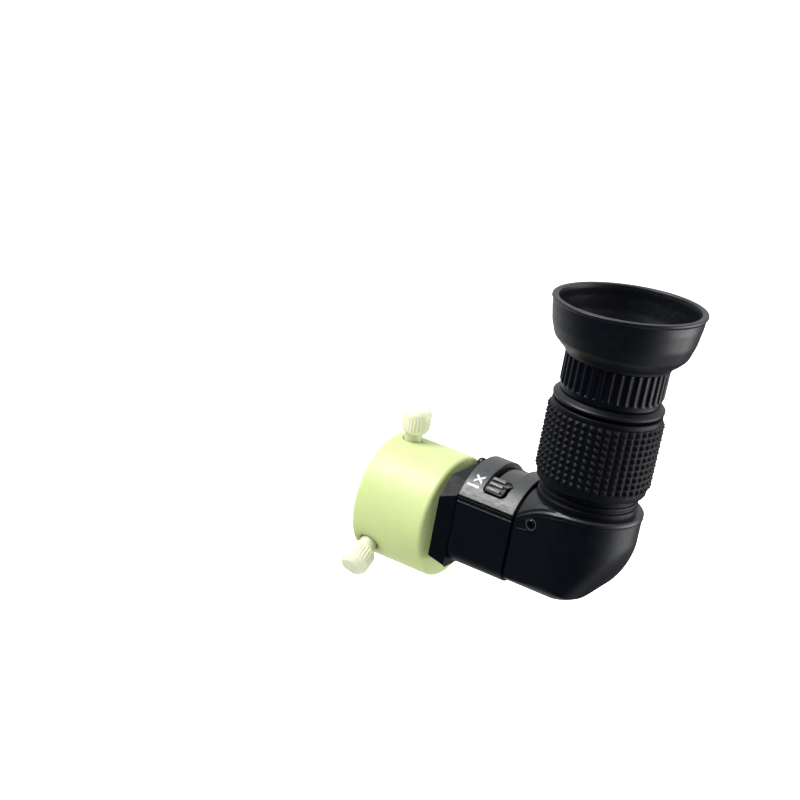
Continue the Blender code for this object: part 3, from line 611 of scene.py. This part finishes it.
def make_plate():
    """An eight-sided plate, wider at the front, on a hollow stepped spigot, and the small stud on it."""
    front = [(14.8, 15.8, 9.6, 10.8, -6.2, 9.0, -8.9), PLATE_X1 - PLATE_THICK]
    rear = [(13.5, 15.6, 9.0, 12.3, -8.0, 12.6, -8.8), PLATE_X1]
    loops = []
    for (half, top, corner_y, corner_z, low_z, foot_y, floor), x in (front, rear):
        side = [(-foot_y, floor), (-half, low_z), (-half, corner_z), (-corner_y, top)]
        loops.append([(x, y, z) for y, z in side + [(-y, z) for y, z in reversed(side)]])
    plate = solid_between("plate", *loops)
    plate = change(plate, bar_along_x("spigot", LIP_R, LIP_X - 1.0, PLATE_X1 - 2.0), "UNION")
    plate = change(plate, bar_along_x("spigot_end", SPIGOT_R, 17.0, LIP_X - GAP), "UNION")
    plate = change(plate, bar_along_x("bore", SWIVEL_R + GAP, 15.0, PLATE_X1 + 2.0, AXIS_Z))
    plate = change(plate, bar_along_x("pocket", CLIP_R + GAP, 15.0, 20.6, AXIS_Z))
    finish_piece(bevel(plate, 0.28, 25.0), "matt", "adapter", ["mount_plate"], 30.0)
    stud_r, stud_height = 1.5, 1.6
    dome = [(0.0, 0.0, 0.0), (stud_r, 0.0, 0.0), (stud_r, stud_height, 1.2), (0.0, stud_height, 0.0)]
    stud = lathe("plate_stud", rounded(dome, 8), 48)
    stud.rotation_euler = (0.0, -math.pi / 2, 0.0)
    stud.location = ((PLATE_X1 - PLATE_THICK) * MM, 7.0 * MM, 14.9 * MM)
    finish_piece(stud, "gloss", "adapter")


# ---------------------------------------------------------------- front housing and its cover

def housing_outline(inset=0.0):
    """The front housing's section, with a fine bead under the cover's edge."""
    half = HALF_WIDTH - inset
    ledge = COVER_EDGE + 1.5
    top_z = AXIS_Z + HALF_WIDTH / math.tan(math.radians(ledge)) - inset
    groove, line = 0.32, 0.3
    side = [(half, top_z - 1.35), (half - groove, top_z - 1.25), (half - groove, top_z - 1.25 + line)]
    side += [(half, top_z - 1.15 + line), (half, top_z)]
    arch_r = COVER_R - COVER_THICK - GAP - inset
    arch = [arch_point(arch_r, -ledge + 2 * ledge * i / 60) for i in range(61)]
    foot = FLOOR_Z + 1.25 + inset
    low_corners = [(half, 5.0, 0.0), (half, foot, 5.0), (0.0, FLOOR_Z + inset, 40.0), (-half, foot, 5.0)]
    points = rounded(low_corners + [(-half, 5.0, 0.0)], 16)
    points += [(-y, z) for y, z in side]
    points += arch
    points += list(reversed(side))
    return points


def make_front_housing():
    """Housing of the magnifier, with the slit for the lever's stem and a dark collar in the seam."""
    housing = section("housing", housing_outline(), HOUSING_X0, HOUSING_X1)
    housing = change(housing, bar_along_x("cavity", CAVITY_R, HOUSING_X0 + WALL, HOUSING_X1 + 5.0, AXIS_Z))
    housing = change(housing, bar_along_x("port", SWIVEL_R + GAP, HOUSING_X0 - 2.0, HOUSING_X0 + 3.0, AXIS_Z))
    reach = 43.0                # degrees that the slit runs to each side of the top
    low, high = CAVITY_R - 2.0, COVER_R
    slit = [arch_point(high, -reach + 2 * reach * i / 40) for i in range(41)]
    slit += [arch_point(low, reach - 2 * reach * i / 40) for i in range(41)]
    housing = change(housing, section("slit", slit, STEM_X0 - GAP, STEM_X1 + GAP))
    finish_piece(bevel(housing, 0.22, 50.0), "black", "finder", ["front_housing"], 30.0)
    collar = section("seam_collar", housing_outline(0.9), HOUSING_X1 - 0.8, ELBOW_X0 + 0.9)
    collar = change(collar, bar_along_x("bore", CAVITY_R, 30.0, 60.0, AXIS_Z))
    finish_piece(collar, "black", "finder")


def slot_outline(x0, x1, end, radius):
    """A rounded slot in (arc length, x)."""
    reach = COVER_R * math.radians(end)
    corners = [(-reach, x0, radius), (reach, x0, radius), (reach, x1, radius), (-reach, x1, radius)]
    return rounded(corners, 8)


def make_top_cover():
    """Arched cover with the lever's slot, and the slot's floor under it."""
    reach = COVER_R * math.radians(COVER_EDGE)
    sheet = [(-reach, HOUSING_X0), (reach, HOUSING_X0), (reach, HOUSING_X1), (-reach, HOUSING_X1)]
    cover = block("cover", sheet, -COVER_THICK, 0.0)
    slot = block("slot", slot_outline(SLOT_X0, SLOT_X1, SLOT_END, 1.3), -3.0, 3.0)
    cover = bend(change(cover, slot))
    finish_piece(bevel(cover, 0.22, 40.0), "gray", "finder", ["top_cover"], 30.0)
    floor_low, floor_high = -1.85, -1.52
    outline = slot_outline(STEM_X1 + GAP, SLOT_X1 + 0.4, SLOT_END + 2.0, 0.3)
    floor = block("slot_floor", outline, floor_low, floor_high)
    finish_piece(bend(floor), "gray", "finder")


def make_marking(name, words, angle):
    """Painted figures on the cover, read up the arch."""
    text = bpy.data.curves.new(name, "FONT")
    text.body = words
    text.size = 5.0 * MM
    text.align_x = "CENTER"
    text.align_y = "CENTER"
    text.extrude = 0.04 * MM
    text.offset = 0.09 * MM
    obj = to_mesh(add_object(name, text))
    middle = (HOUSING_X0 + SLOT_X0) / 2
    place = Matrix.Translation((COVER_R * math.radians(angle) * MM, middle * MM, 0.02 * MM))
    obj.data.transform(place @ Matrix.Diagonal((1.0, -1.0, 1.0, 1.0)))
    finish_piece(bend(obj, 0.7), "paint", "finder")


def make_knob():
    """Ribbed lever knob: a block in the slot with a pointer, and three ribs on top."""
    middle = COVER_R * math.radians(LEVER_REST - 0.5)
    half, x0, x1 = 2.55, SLOT_X0 + 0.45, SLOT_X1 - 0.45
    outline = [(-half, x0, 0.6), (half, x0, 0.6), (half, x1 - 0.2, 0.1), (1.5, x1 + 0.85, 0.15)]
    outline += [(0.3, x1 - 0.2, 0.2), (-half, x1 - 0.2, 0.8)]
    rib_pitch, rib_half = 1.62, 0.45
    pieces = []
    for place in (-rib_pitch, 0.0, rib_pitch):
        low, high = place - rib_half, place + rib_half
        corners = [(low, x0 + 0.7, 0.2), (high, x0 + 0.7, 0.2), (high, x1 - 1.2, 0.2), (low, x1 - 1.2, 0.2)]
        pieces.append(to_mesh(bevel(block("rib", rounded(corners, 4), 0.1, 1.0), 0.16)))
    knob = to_mesh(bevel(block("knob", rounded(outline, 5), -1.35, 0.4), 0.16))
    ribs_on_top = join(*pieces)
    for piece in (knob, ribs_on_top):
        piece.data.transform(Matrix.Translation((middle * MM, 0.0, 0.0)))
    finish_piece(bend(knob, 0.6), "ribs", "magnifier_lever", ["slider_knob"], 40.0)
    # The ribs on top are coloured pale gray: a painted highlight.
    finish_piece(bend(ribs_on_top, 0.6), "painted_highlight", "magnifier_lever")
    width, low, high = 3.0, 10.7, COVER_R - 1.2
    stem = [arch_point(low, LEVER_REST - width), arch_point(high, LEVER_REST - width)]
    stem += [arch_point(high, LEVER_REST + width), arch_point(low, LEVER_REST + width)]
    finish_piece(section("knob_stem", stem, STEM_X0, STEM_X1), "black", "magnifier_lever")


# ---------------------------------------------------------------- elbow

def elbow_plan(inset, x0):
    """Plan (x, y) of the elbow: sides that leave the seam and run tangent into a round back."""
    steps = 96
    radius = ELBOW_R - inset
    corner = Vector((ELBOW_X0 - EYE_X, -(HALF_WIDTH - inset)))
    touch = math.atan2(corner.y, corner.x) + math.acos(radius / corner.length)
    touch_point = Vector((radius * math.cos(touch), radius * math.sin(touch)))
    slope = (touch_point.y - corner.y) / (touch_point.x - corner.x)
    start_y = corner.y + slope * (x0 - ELBOW_X0)
    points = [(x0, -start_y), (x0, start_y)]
    for i in range(steps + 1):
        turn = touch - 2 * touch * i / steps
        points.append((EYE_X + radius * math.cos(turn), radius * math.sin(turn)))
    return points


def elbow_side(x):
    """Distance of the elbow's side from the middle, at a station along X."""
    points = elbow_plan(0.0, ELBOW_X0)
    for (xa, ya), (xb, yb) in zip(points[1:], points[2:]):
        if xa <= x <= xb:
            return -(ya + (yb - ya) * (x - xa) / (xb - xa))
    return HALF_WIDTH if x < ELBOW_X0 else 0.0


def lid_height(x, y):
    """Top of the lid: a flat disc that eases down to the cover's arch at the seam."""
    arch = AXIS_Z + math.sqrt(max(0.0, COVER_R ** 2 - y ** 2))
    disc_x = EYE_X - math.sqrt(max(0.0, DISC_R ** 2 - y ** 2))
    top = LID_TOP - 0.05
    along = max(0.0, x - ELBOW_X0)
    run = max(0.5, disc_x + LID_EASE - ELBOW_X0)
    if along >= run:
        return min(top, arch + along)
    share = 1.0 - (1.0 - along / run) ** 1.6
    return min((1.0 - share) * arch + share * top, arch + along)


def lid_edge(x):
    """Height of the lid's lower edge, where it meets the elbow."""
    drop = 1.7 - 0.4 * smoothstep(x, ELBOW_X0, EYE_X)
    return lid_height(x, elbow_side(x)) - drop


def elbow_distance(x, y, z, inset):
    """Distance outside the elbow: a round back, a vaulted underside and a slope blended into both."""
    radius = ELBOW_R - inset
    floor_z = FLOOR_Z + inset
    px, py = x - EYE_X, abs(y)
    corner = Vector((ELBOW_X0 - EYE_X, HALF_WIDTH - inset))
    touch = math.atan2(corner.y, corner.x) - math.acos(radius / corner.length)
    if math.atan2(py, px) <= touch:
        side = math.hypot(px, py) - radius
    else:
        side = px * math.cos(touch) + py * math.sin(touch) - radius
    across = py / radius
    down = max(0.0, (floor_z + ELBOW_FLOOR_DEPTH - z) / ELBOW_FLOOR_DEPTH)
    reach = math.hypot(across, down)
    under = (reach - 1.0) * reach / (math.hypot(across / radius, down / ELBOW_FLOOR_DEPTH) + 1e-6)
    foot = EYE_X + SLOPE_FOOT - inset * math.tan(SLOPE_ANGLE / 2)
    slope = (x - foot) * math.sin(SLOPE_ANGLE) - (z - floor_z) * math.cos(SLOPE_ANGLE)
    blend = SLOPE_ROUND - inset
    wall = max(side, under)
    return min(max(wall, slope), -blend) + math.hypot(max(wall + blend, 0.0), max(slope + blend, 0.0))


def underside(half_width, floor_z, depth):
    """(y, z) of a rounded underside, from the +Y side to the -Y side."""
    steps = 48
    turns = [math.pi * i / steps for i in range(steps + 1)]
    return [(half_width * math.cos(t), floor_z + depth - depth * math.sin(t)) for t in turns]


def elbow_block(name, inset, x0, top_z):
    """Solid elbow: a trimmed block, remeshed evenly and drawn onto the blended surface."""
    wide = ELBOW_R - inset + 0.01
    body = block(name, elbow_plan(inset, x0), FLOOR_Z - 8.0, top_z)
    floor = underside(wide, FLOOR_Z + inset, ELBOW_FLOOR_DEPTH)
    floor += [(-wide, top_z + 5.0), (wide, top_z + 5.0)]
    body = change(body, section("trim", floor, x0 - 5.0, EYE_X + 30.0), "INTERSECT")
    far = TOOL_REACH
    rise = far / math.tan(SLOPE_ANGLE)
    foot = EYE_X + SLOPE_FOOT
    beyond = [(foot - rise, FLOOR_Z - far), (foot + rise, FLOOR_Z + far), (foot + far, FLOOR_Z + far)]
    beyond.append((foot + far, FLOOR_Z - far))
    body = melt(change(body, side_view("beyond", beyond, 30.0)), 0.4, 60)
    nudge, steps = 0.02, 5
    deep, cap = 1.2, 0.6        # deeper vertices stay, and those this near a flat end only move inwards
    for vertex in body.data.vertices:
        x, y, z = vertex.co / MM
        at_cap = x < x0 + cap or z > top_z - cap
        for _ in range(steps):
            away = elbow_distance(x, y, z, inset)
            if away < -deep or at_cap and away < 0.0:
                break
            gradient = Vector((elbow_distance(x + nudge, y, z, inset) - away,
                               elbow_distance(x, y + nudge, z, inset) - away,
                               elbow_distance(x, y, z + nudge, inset) - away)) / nudge
            if at_cap:
                gradient.x = 0.0
            step = gradient * (away / max(gradient.length_squared, 0.1))
            x, y, z = x - step.x, y - step.y, z - step.z
        vertex.co = Vector((x, y, z)) * MM
    return body


def make_elbow_shell():
    """Prism housing: the blended block, trimmed under the lid and at the seam, and hollowed."""
    shell = elbow_block("elbow", 0.0, ELBOW_X0 - 6.0, LID_TOP + 10.0)
    xs = [ELBOW_X0 - 10.0 + 0.4 * i for i in range(120)]
    over = [(x, lid_edge(x) - 0.12) for x in xs]
    over += [(xs[-1], 60.0), (xs[0], 60.0)]
    shell = change(shell, side_view("over", over, TOOL_REACH))
    front = rectangle(TOOL_REACH, TOOL_REACH)
    shell = change(shell, section("front", front, ELBOW_X0 - 20.0, ELBOW_FACE))
    shell = change(shell, elbow_block("hollow", WALL, ELBOW_X0 + WALL, LID_TOP + 12.0))
    shell = change(shell, bar_along_x("port", PORT_R, ELBOW_X0 - 3.0, ELBOW_X0 + 3.0, AXIS_Z))
    for side in (-1, 1):
        shell = change(shell, at_elbow_screw(cylinder("hole", ELBOW_HOLE_R, 13.0, 17.0, 48), side))
    finish_piece(shell, "black", "finder", ["elbow_shell"], 30.0)


def make_elbow_lines():
    """The fine raised line under the lid, and the tongue that the side screw holds."""
    plan = divided(elbow_plan(0.0, ELBOW_X0), 0.6)
    plan = [(x, y) for x, y in plan if x > ELBOW_FACE + 0.1]
    points = [(x, y, lid_edge(x) - 0.2) for x, y in plan]
    finish_piece(bead("elbow_line", points, 0.2), "black", "finder")
    for side in (-1, 1):
        word = "near" if side < 0 else "far"
        x0, x1, z = ELBOW_FACE, ELBOW_SCREW_X + 1.9, ELBOW_SCREW_Z
        corners = [(x0, z - 2.4, 0.2), (x1 - 0.4, z - 2.1, 1.4), (x1, z + 1.2, 1.3), (x0, z - 1.2, 0.3)]
        outline = divided(rounded(corners, 6), 0.5)
        tongue = block("elbow_tongue_" + word, outline, -0.35, 0.1)
        for vertex in tongue.data.vertices:
            x, height, out = vertex.co.x / MM, vertex.co.y / MM, vertex.co.z / MM
            vertex.co = Vector((x, side * (elbow_side(x) + out), height)) * MM
        cut = at_elbow_screw(cylinder("cut", ELBOW_HOLE_R, 13.0, 17.0, 48), side)
        finish_piece(change(tongue, cut), "black", "finder")


def make_elbow_screw(side, word):
    """A small cross-head screw in a bright ring, and a painted highlight: the bright gray line along its
    tongue.
    """
    face = elbow_side(ELBOW_SCREW_X)
    head_r, shank_r, tip = 1.4, 0.6, 11.4
    corners = [(0.0, face + 0.28, 0.0), (1.0, face + 0.22, 0.3), (head_r, face - 0.1, 0.1)]
    corners += [(head_r, face - 0.6, 0.0), (shank_r, face - 0.6, 0.0), (shank_r, tip, 0.0), (0.0, tip, 0.0)]
    screw = lathe("elbow_screw_" + word + "_fine", rounded(corners, 4), 64)
    slot_turn, slot_reach, slot_half = 0.4, 0.85, 0.16
    for turn in (slot_turn, slot_turn + math.pi / 2):
        bar = block("bar", rectangle(slot_reach, slot_half), face - 0.25, face + 1.0)
        bar.rotation_euler = (0.0, 0.0, turn)
        screw = change(screw, bar)
    finish_piece(at_elbow_screw(screw, side), "gloss", "finder", ["elbow_screw_" + word])
    ring_r, ring_steps = 1.5, 32
    turns = [math.tau * i / ring_steps for i in range(ring_steps)]
    ring = [(ELBOW_SCREW_X + ring_r * math.cos(t), ELBOW_SCREW_Z + ring_r * math.sin(t)) for t in turns]
    ring = [(x, side * elbow_side(x), z) for x, z in ring]
    finish_piece(bead("elbow_screw_rim_" + word, ring, 0.14, True), "gray", "finder")
    # painted highlight: the tongue's fine raised line is coloured satin gray to stand for the light along it
    line_x, line_z, step_x, step_z = 47.2, 10.35, 0.5, 0.09
    line = [(line_x + step_x * i, line_z + step_z * i) for i in range(7)]
    line = [(x, side * elbow_side(x), z) for x, z in line]
    finish_piece(bead("elbow_tongue_painted_highlight_" + word, line, 0.12), "gray", "finder")


def behind_seam(x, y):
    """The same spot, or the nearest one towards the eyepiece's axis that isn't past the seam."""
    if x >= ELBOW_FACE:
        return x, y
    return ELBOW_FACE, y * (ELBOW_FACE - EYE_X) / (x - EYE_X)


def make_lid():
    """Top plate: a flat disc that slopes down to the cover's arch, with a chamfered rim and a side wall."""
    plan = divided(elbow_plan(0.0, ELBOW_X0), 0.4)
    slope_steps = 10
    columns = []
    for x, y in plan:
        radius = math.hypot(x - EYE_X, y)
        ux, uy = (x - EYE_X) / radius, y / radius
        rim = lid_height(x, y)
        low = rim - lid_edge(x)
        crease = min(DISC_R, radius - 0.6)
        top = [TUBE_R + GAP, NECK_R, (NECK_R + crease) / 2, crease - 0.12, crease]
        top += [crease + (radius - 0.55 - crease) * i / slope_steps for i in range(1, slope_steps + 1)]
        column = []
        for out in top:
            px, py = behind_seam(EYE_X + ux * out, uy * out)
            column.append((px, py, lid_height(px, py)))
        # The rim, the side wall and the lower face: how far out of the plan, and how far below the rim
        edge = [(-0.32, 0.0), (-0.28, 0.03), (0.14, 0.45), (0.17, 0.5), (0.2, 0.62), (0.2, low - 0.25)]
        edge += [(0.17, low - 0.1), (0.05, low), (-1.1, low), (-1.2, low - 0.2)]
        for out, drop in [(radius + out, drop) for out, drop in edge] + [(TUBE_R + GAP, low - 0.2)]:
            px, py = behind_seam(EYE_X + ux * out, uy * out)
            column.append((px, py, rim - drop))
        columns.append(column)
    finish_piece(skin("lid", columns), "lid", "finder", ["elbow_lid"], 24.0)


# ---------------------------------------------------------------- eyepiece

def make_neck():
    """Fixed tube, with stepped rings round its foot."""
    low = LID_TOP - 0.2
    corners = [(TUBE_BORE, 44.0, 0.1), (TUBE_BORE, 15.6, 0.1), (TUBE_R, 15.6, 0.1), (TUBE_R, low, 0.0)]
    corners += [(NECK_R, low, 0.0), (NECK_R, 20.3, 0.3), (NECK_R - 0.6, 20.5, 0.1), (NECK_R - 0.6, 20.9, 0.1)]
    corners += [(NECK_R - 0.2, 21.1, 0.2), (NECK_R - 0.2, 22.0, 0.25), (NECK_R - 0.7, 22.2, 0.1)]
    corners += [(NECK_R - 0.7, 22.6, 0.1), (NECK_R - 0.3, 22.8, 0.2), (NECK_R - 0.3, 23.4, 0.1)]
    corners += [(TUBE_R, 23.4, 0.0), (TUBE_R, 44.0, 0.1)]
    neck = lathe("neck", rounded(corners, 4))
    finish_piece(on_eyepiece(neck), "matt", "finder", ["base_tube"])


GRIP_LOW, GRIP_HIGH = span("focus_grip")[0].z, span("focus_grip")[1].z
GRIP_R = span("focus_grip")[1].y
KNURL_Z0, KNURL_Z1 = GRIP_LOW + 1.9, GRIP_HIGH
KNURL_DEPTH = 1.0
KNURL_ACROSS, KNURL_UP = 0.72, 0.86     # share of its cell that a pyramid's foot covers
KNURL_CAP = 0.78                        # share of its height at which a pyramid is cut flat


def knurl(r, z, turn):
    """Rows of small blunt pyramids on a square grid, raised from the wall."""
    if r < GRIP_R - 1.6 or not KNURL_Z0 <= z <= KNURL_Z1:
        return r, z
    across = 2.0 * math.modf(turn * GRIP_COLUMNS / math.tau)[0] - 1.0
    up = 2.0 * math.modf((z - KNURL_Z0) / (KNURL_Z1 - KNURL_Z0) * GRIP_ROWS + 1e-9)[0] - 1.0
    height = max(0.0, min(1.0 - abs(across) / KNURL_ACROSS, 1.0 - abs(up) / KNURL_UP, KNURL_CAP))
    return r + KNURL_DEPTH * height, z


def make_grip():
    """Turning ring and its rubber grip, which has a smooth tapered rim below the knurl."""
    per_cell = 8
    cells = GRIP_ROWS * per_cell
    wall = GRIP_R - KNURL_DEPTH * KNURL_CAP
    outline = [(14.1, GRIP_HIGH), (14.1, GRIP_LOW), (13.95, GRIP_LOW - 0.2), (14.2, GRIP_LOW - 0.2)]
    outline += [(14.35, GRIP_LOW), (wall - 0.05, KNURL_Z0 - 0.5)]
    outline += [(wall, KNURL_Z0 + (KNURL_Z1 - KNURL_Z0) * i / cells) for i in range(cells + 1)]
    grip = lathe("grip", outline, GRIP_COLUMNS * per_cell, knurl)
    finish_piece(on_eyepiece(grip), "rubber", "focus", ["focus_grip"], 60.0)
    low, high = span("focus_ring")[0].z, span("focus_ring")[1].z
    corners = [(12.0, low, 0.2), (13.7, low, 0.3), (13.8, low + 0.6, 0.0), (13.8, GRIP_HIGH + 0.15, 0.1)]
    corners += [(14.5, GRIP_HIGH + 0.15, 0.1), (14.4, high, 0.35), (12.0, high, 0.3)]
    finish_piece(on_eyepiece(lathe("ring", rounded(corners))), "matt", "focus", ["focus_ring"])


def make_barrel():
    """Sliding eyepiece barrel with its wide flange, which slopes up to the ribbed ring."""
    low, high, step = 30.0, 60.0, 47.2
    corners = [(11.9, high, 0.2), (11.9, 48.0, 0.1), (13.0, 48.0, 0.2), (14.3, step, 0.5)]
    corners += [(14.55, 46.9, 0.12), (14.5, 46.3, 0.2), (10.1, 46.2, 0.1), (10.1, low, 0.2)]
    corners += [(9.1, low, 0.2), (9.1, step, 0.0), (9.8, step, 0.0), (9.8, high, 0.2)]
    barrel = lathe("barrel", rounded(corners))
    finish_piece(on_eyepiece(barrel), "black", "eyepiece", ["eyepiece_barrel"])


RIB_LOW, RIB_HIGH = span("ribbed_ring")[0].z, span("ribbed_ring")[1].z
RIB_R = span("ribbed_ring")[1].y


def ribs(r, z, turn):
    """Upright rounded ribs that begin above a smooth foot."""
    rib_depth = 0.62
    if r < RIB_R - 0.9:
        return r, z
    band = smoothstep(z, RIB_LOW + 1.5, RIB_LOW + 2.2)
    wave = math.cos(RIB_COUNT * turn)
    valley = 0.5 - 0.5 * math.copysign(abs(wave) ** 0.6, wave)
    return r - rib_depth * band * valley, z


def make_ribbed_ring():
    """Collar with upright ribs that holds the cup."""
    corners = [(12.2, RIB_LOW, 0.1), (RIB_R - 0.65, RIB_LOW, 0.2), (RIB_R - 0.45, RIB_LOW + 1.4, 0.0)]
    corners += [(RIB_R - 0.15, RIB_LOW + 2.1, 0.0), (RIB_R - 0.1, RIB_HIGH, 0.2), (12.2, RIB_HIGH, 0.1)]
    collar = lathe("ribbed_collar", divided(rounded(corners, 5), 0.35), RIB_COUNT * 14, ribs)
    finish_piece(on_eyepiece(collar), "ribs", "eyepiece", ["ribbed_ring"], 50.0)


CUP_LOW, CUP_RIM, CUP_TILT = 58.4, 72.9, 3.5


def lean(r, z, turn):
    """The soft rim leans up on the +X side."""
    foot = 2.5                  # the height above CUP_LOW that stays level
    share = max(0.0, (z - CUP_LOW - foot) / (CUP_RIM - CUP_LOW - foot))
    return r, z + r * math.cos(turn) * math.tan(math.radians(CUP_TILT)) * share


def make_eyecup():
    """Soft rubber cup: a bowl with a thickened lip and a collar at its foot."""
    corners = [(12.2, CUP_LOW, 0.2), (13.9, CUP_LOW - 0.1, 0.25), (14.1, 59.0, 0.6), (15.7, 60.4, 2.0)]
    corners += [(17.3, 62.0, 3.0), (18.5, 65.6, 9.0), (19.2, 69.8, 8.0), (19.35, 71.9, 0.5)]
    corners += [(19.8, 72.3, 0.25), (19.7, CUP_RIM, 0.35), (18.1, CUP_RIM, 0.45), (17.85, 71.6, 0.8)]
    corners += [(17.8, 69.6, 6.0), (17.2, 65.8, 7.0), (16.3, 63.0, 2.5), (14.6, 61.2, 1.0)]
    corners += [(12.6, 60.6, 0.3), (12.2, 60.4, 0.0)]
    cup = lathe("cup", divided(rounded(corners, 8), 0.6), 192, lean)
    finish_piece(on_eyepiece(cup), "soft", "eyepiece", ["eyecup"], 60.0)


def dress_inner_nodes():
    """Materials for the CAD pieces that stay as they are."""
    dress = {
        "black": ["swivel_bush", "lens_carriage", "objective_cell", "lens_spacer", "eye_lens_clip"],
        "steel": ["swivel_clip", "carriage_pin", "magnifier_clip", "guide_pin", "prism_bracket"],
        "glass": ["front_window", "magnifier_lens", "objective_lens", "prism", "field_lens", "eye_lens"],
        "brass": ["cam_ring", "tube_nut"],
        "rubber": ["prism_pad"],
    }
    for look, names in dress.items():
        for name in names:
            node = frame["nodes"][name]
            node.data.materials.clear()
            node.data.materials.append(LOOKS[look])


# ---------------------------------------------------------------- stage

def make_floor():
    """A plain pale floor well under the part, which its mount holds up."""
    reach, height = 9000, -95
    floor = new_object("floor", [(x, y, height) for x, y in rectangle(reach, reach)], [(0, 1, 2, 3)])
    look = bpy.data.materials.new("floor")
    look.use_nodes = True
    set_inputs(look.node_tree.nodes["Principled BSDF"], {
        "Base Color": (0.93, 0.93, 0.93, 1.0), "Roughness": 0.9, "Specular IOR Level": 0.1,
        "Emission Color": (1.0, 1.0, 1.0, 1.0), "Emission Strength": 1.0})
    floor.data.materials.append(look)
    floor.visible_glossy = False
    floor.visible_diffuse = False
    floor.visible_shadow = False


def make_world():
    """Soft surroundings: dark in front of the part and low behind it, pale elsewhere."""
    world = bpy.data.worlds.new("studio")
    bpy.context.scene.world = world
    world.use_nodes = True
    nodes, links = world.node_tree.nodes, world.node_tree.links
    background = nodes["Background"]
    place = nodes.new("ShaderNodeTexCoord")

    def lobe(direction, start, stop, outside, inside):
        """A strength that eases from one value to another as a direction is neared."""
        facing = nodes.new("ShaderNodeVectorMath")
        facing.operation = "DOT_PRODUCT"
        facing.inputs[1].default_value = Vector(direction).normalized()
        links.new(place.outputs["Generated"], facing.inputs[0])
        return map_range(world.node_tree, facing.outputs["Value"], start, stop, outside, inside, "SMOOTHSTEP")

    both = nodes.new("ShaderNodeMath")
    both.operation = "MULTIPLY"
    links.new(lobe((0.05, -0.96, -0.22), -0.35, 0.75, 0.8, 0.03), both.inputs[0])
    links.new(lobe((0.30, 0.82, -0.48), 0.66, 0.92, 1.0, 0.12), both.inputs[1])
    links.new(both.outputs["Value"], background.inputs["Strength"])
    background.inputs["Color"].default_value = (0.96, 0.98, 1.0, 1.0)


def soft_box(name, direction, distance, size, power):
    """A square soft light aimed at the middle of the part."""
    light = bpy.data.lights.new(name, "AREA")
    light.size = size
    light.energy = power
    obj = add_object(name, light)
    middle = Vector((0.045, 0.0, 0.025))
    towards = Vector(direction).normalized()
    obj.location = middle + towards * distance
    obj.rotation_euler = towards.to_track_quat("Z", "Y").to_euler()
    obj.visible_camera = False
    return obj


def make_lights():
    """A wide soft sun, a key light on the left, a side light on the right and a fill from below."""
    sun = bpy.data.lights.new("sky", "SUN")
    sun.energy = 0.62
    sun.angle = math.radians(50.0)
    obj = add_object("sky", sun)
    obj.rotation_euler = Vector((-0.42, -0.30, 0.86)).to_track_quat("Z", "Y").to_euler()
    soft_box("key", (-0.45, -0.42, 0.80), 0.60, 0.32, 3.9)
    soft_box("side", (0.86, 0.50, 0.02), 0.55, 0.50, 3.4)
    fill = soft_box("fill", (0.0, -0.82, -0.56), 0.60, 0.40, 2.6)
    fill.visible_glossy = False


def make_camera():
    """The view: a long lens, turned, raised and rolled about where the eyepiece's axis meets the sleeve's."""
    turn, rise, roll = math.radians(28.65), math.radians(19.46), math.radians(10.54)
    shift_x, shift_y, distance = -45.16, 43.31, 524.22
    back = Vector((math.sin(turn) * math.cos(rise), -math.cos(turn) * math.cos(rise), math.sin(rise)))
    right = Vector((math.cos(turn), math.sin(turn), 0.0))
    up = back.cross(right)
    level_right, level_up = right.copy(), up.copy()
    right = level_right * math.cos(roll) + level_up * math.sin(roll)
    up = level_up * math.cos(roll) - level_right * math.sin(roll)
    place = Vector((EYE_X, 0.0, 0.0)) + right * shift_x + up * shift_y + back * distance
    data = bpy.data.cameras.new("camera")
    data.lens = 90.0
    data.sensor_width = 36.0
    data.clip_start = 0.01
    data.clip_end = 50.0
    camera = add_object("camera", data)
    axes = Matrix((right, up, back)).transposed().to_4x4()
    camera.matrix_world = Matrix.Translation(place * MM) @ axes
    bpy.context.scene.camera = camera


make_sleeve()
for screw_place, screw_turn in SCREW_TURNS.items():
    make_thumb_screw(screw_place, screw_turn)
make_plate()
make_front_housing()
make_top_cover()
make_marking("mark_1x", "1x", -38.2)
make_marking("mark_2x", "2x", 37.0)
make_knob()
make_elbow_shell()
make_elbow_lines()
make_elbow_screw(-1, "near")
make_elbow_screw(1, "far")
make_lid()
make_neck()
make_grip()
make_barrel()
make_ribbed_ring()
make_eyecup()
dress_inner_nodes()
make_floor()
make_world()
make_lights()
make_camera()
bpy.context.scene.view_settings.view_transform = "Standard"
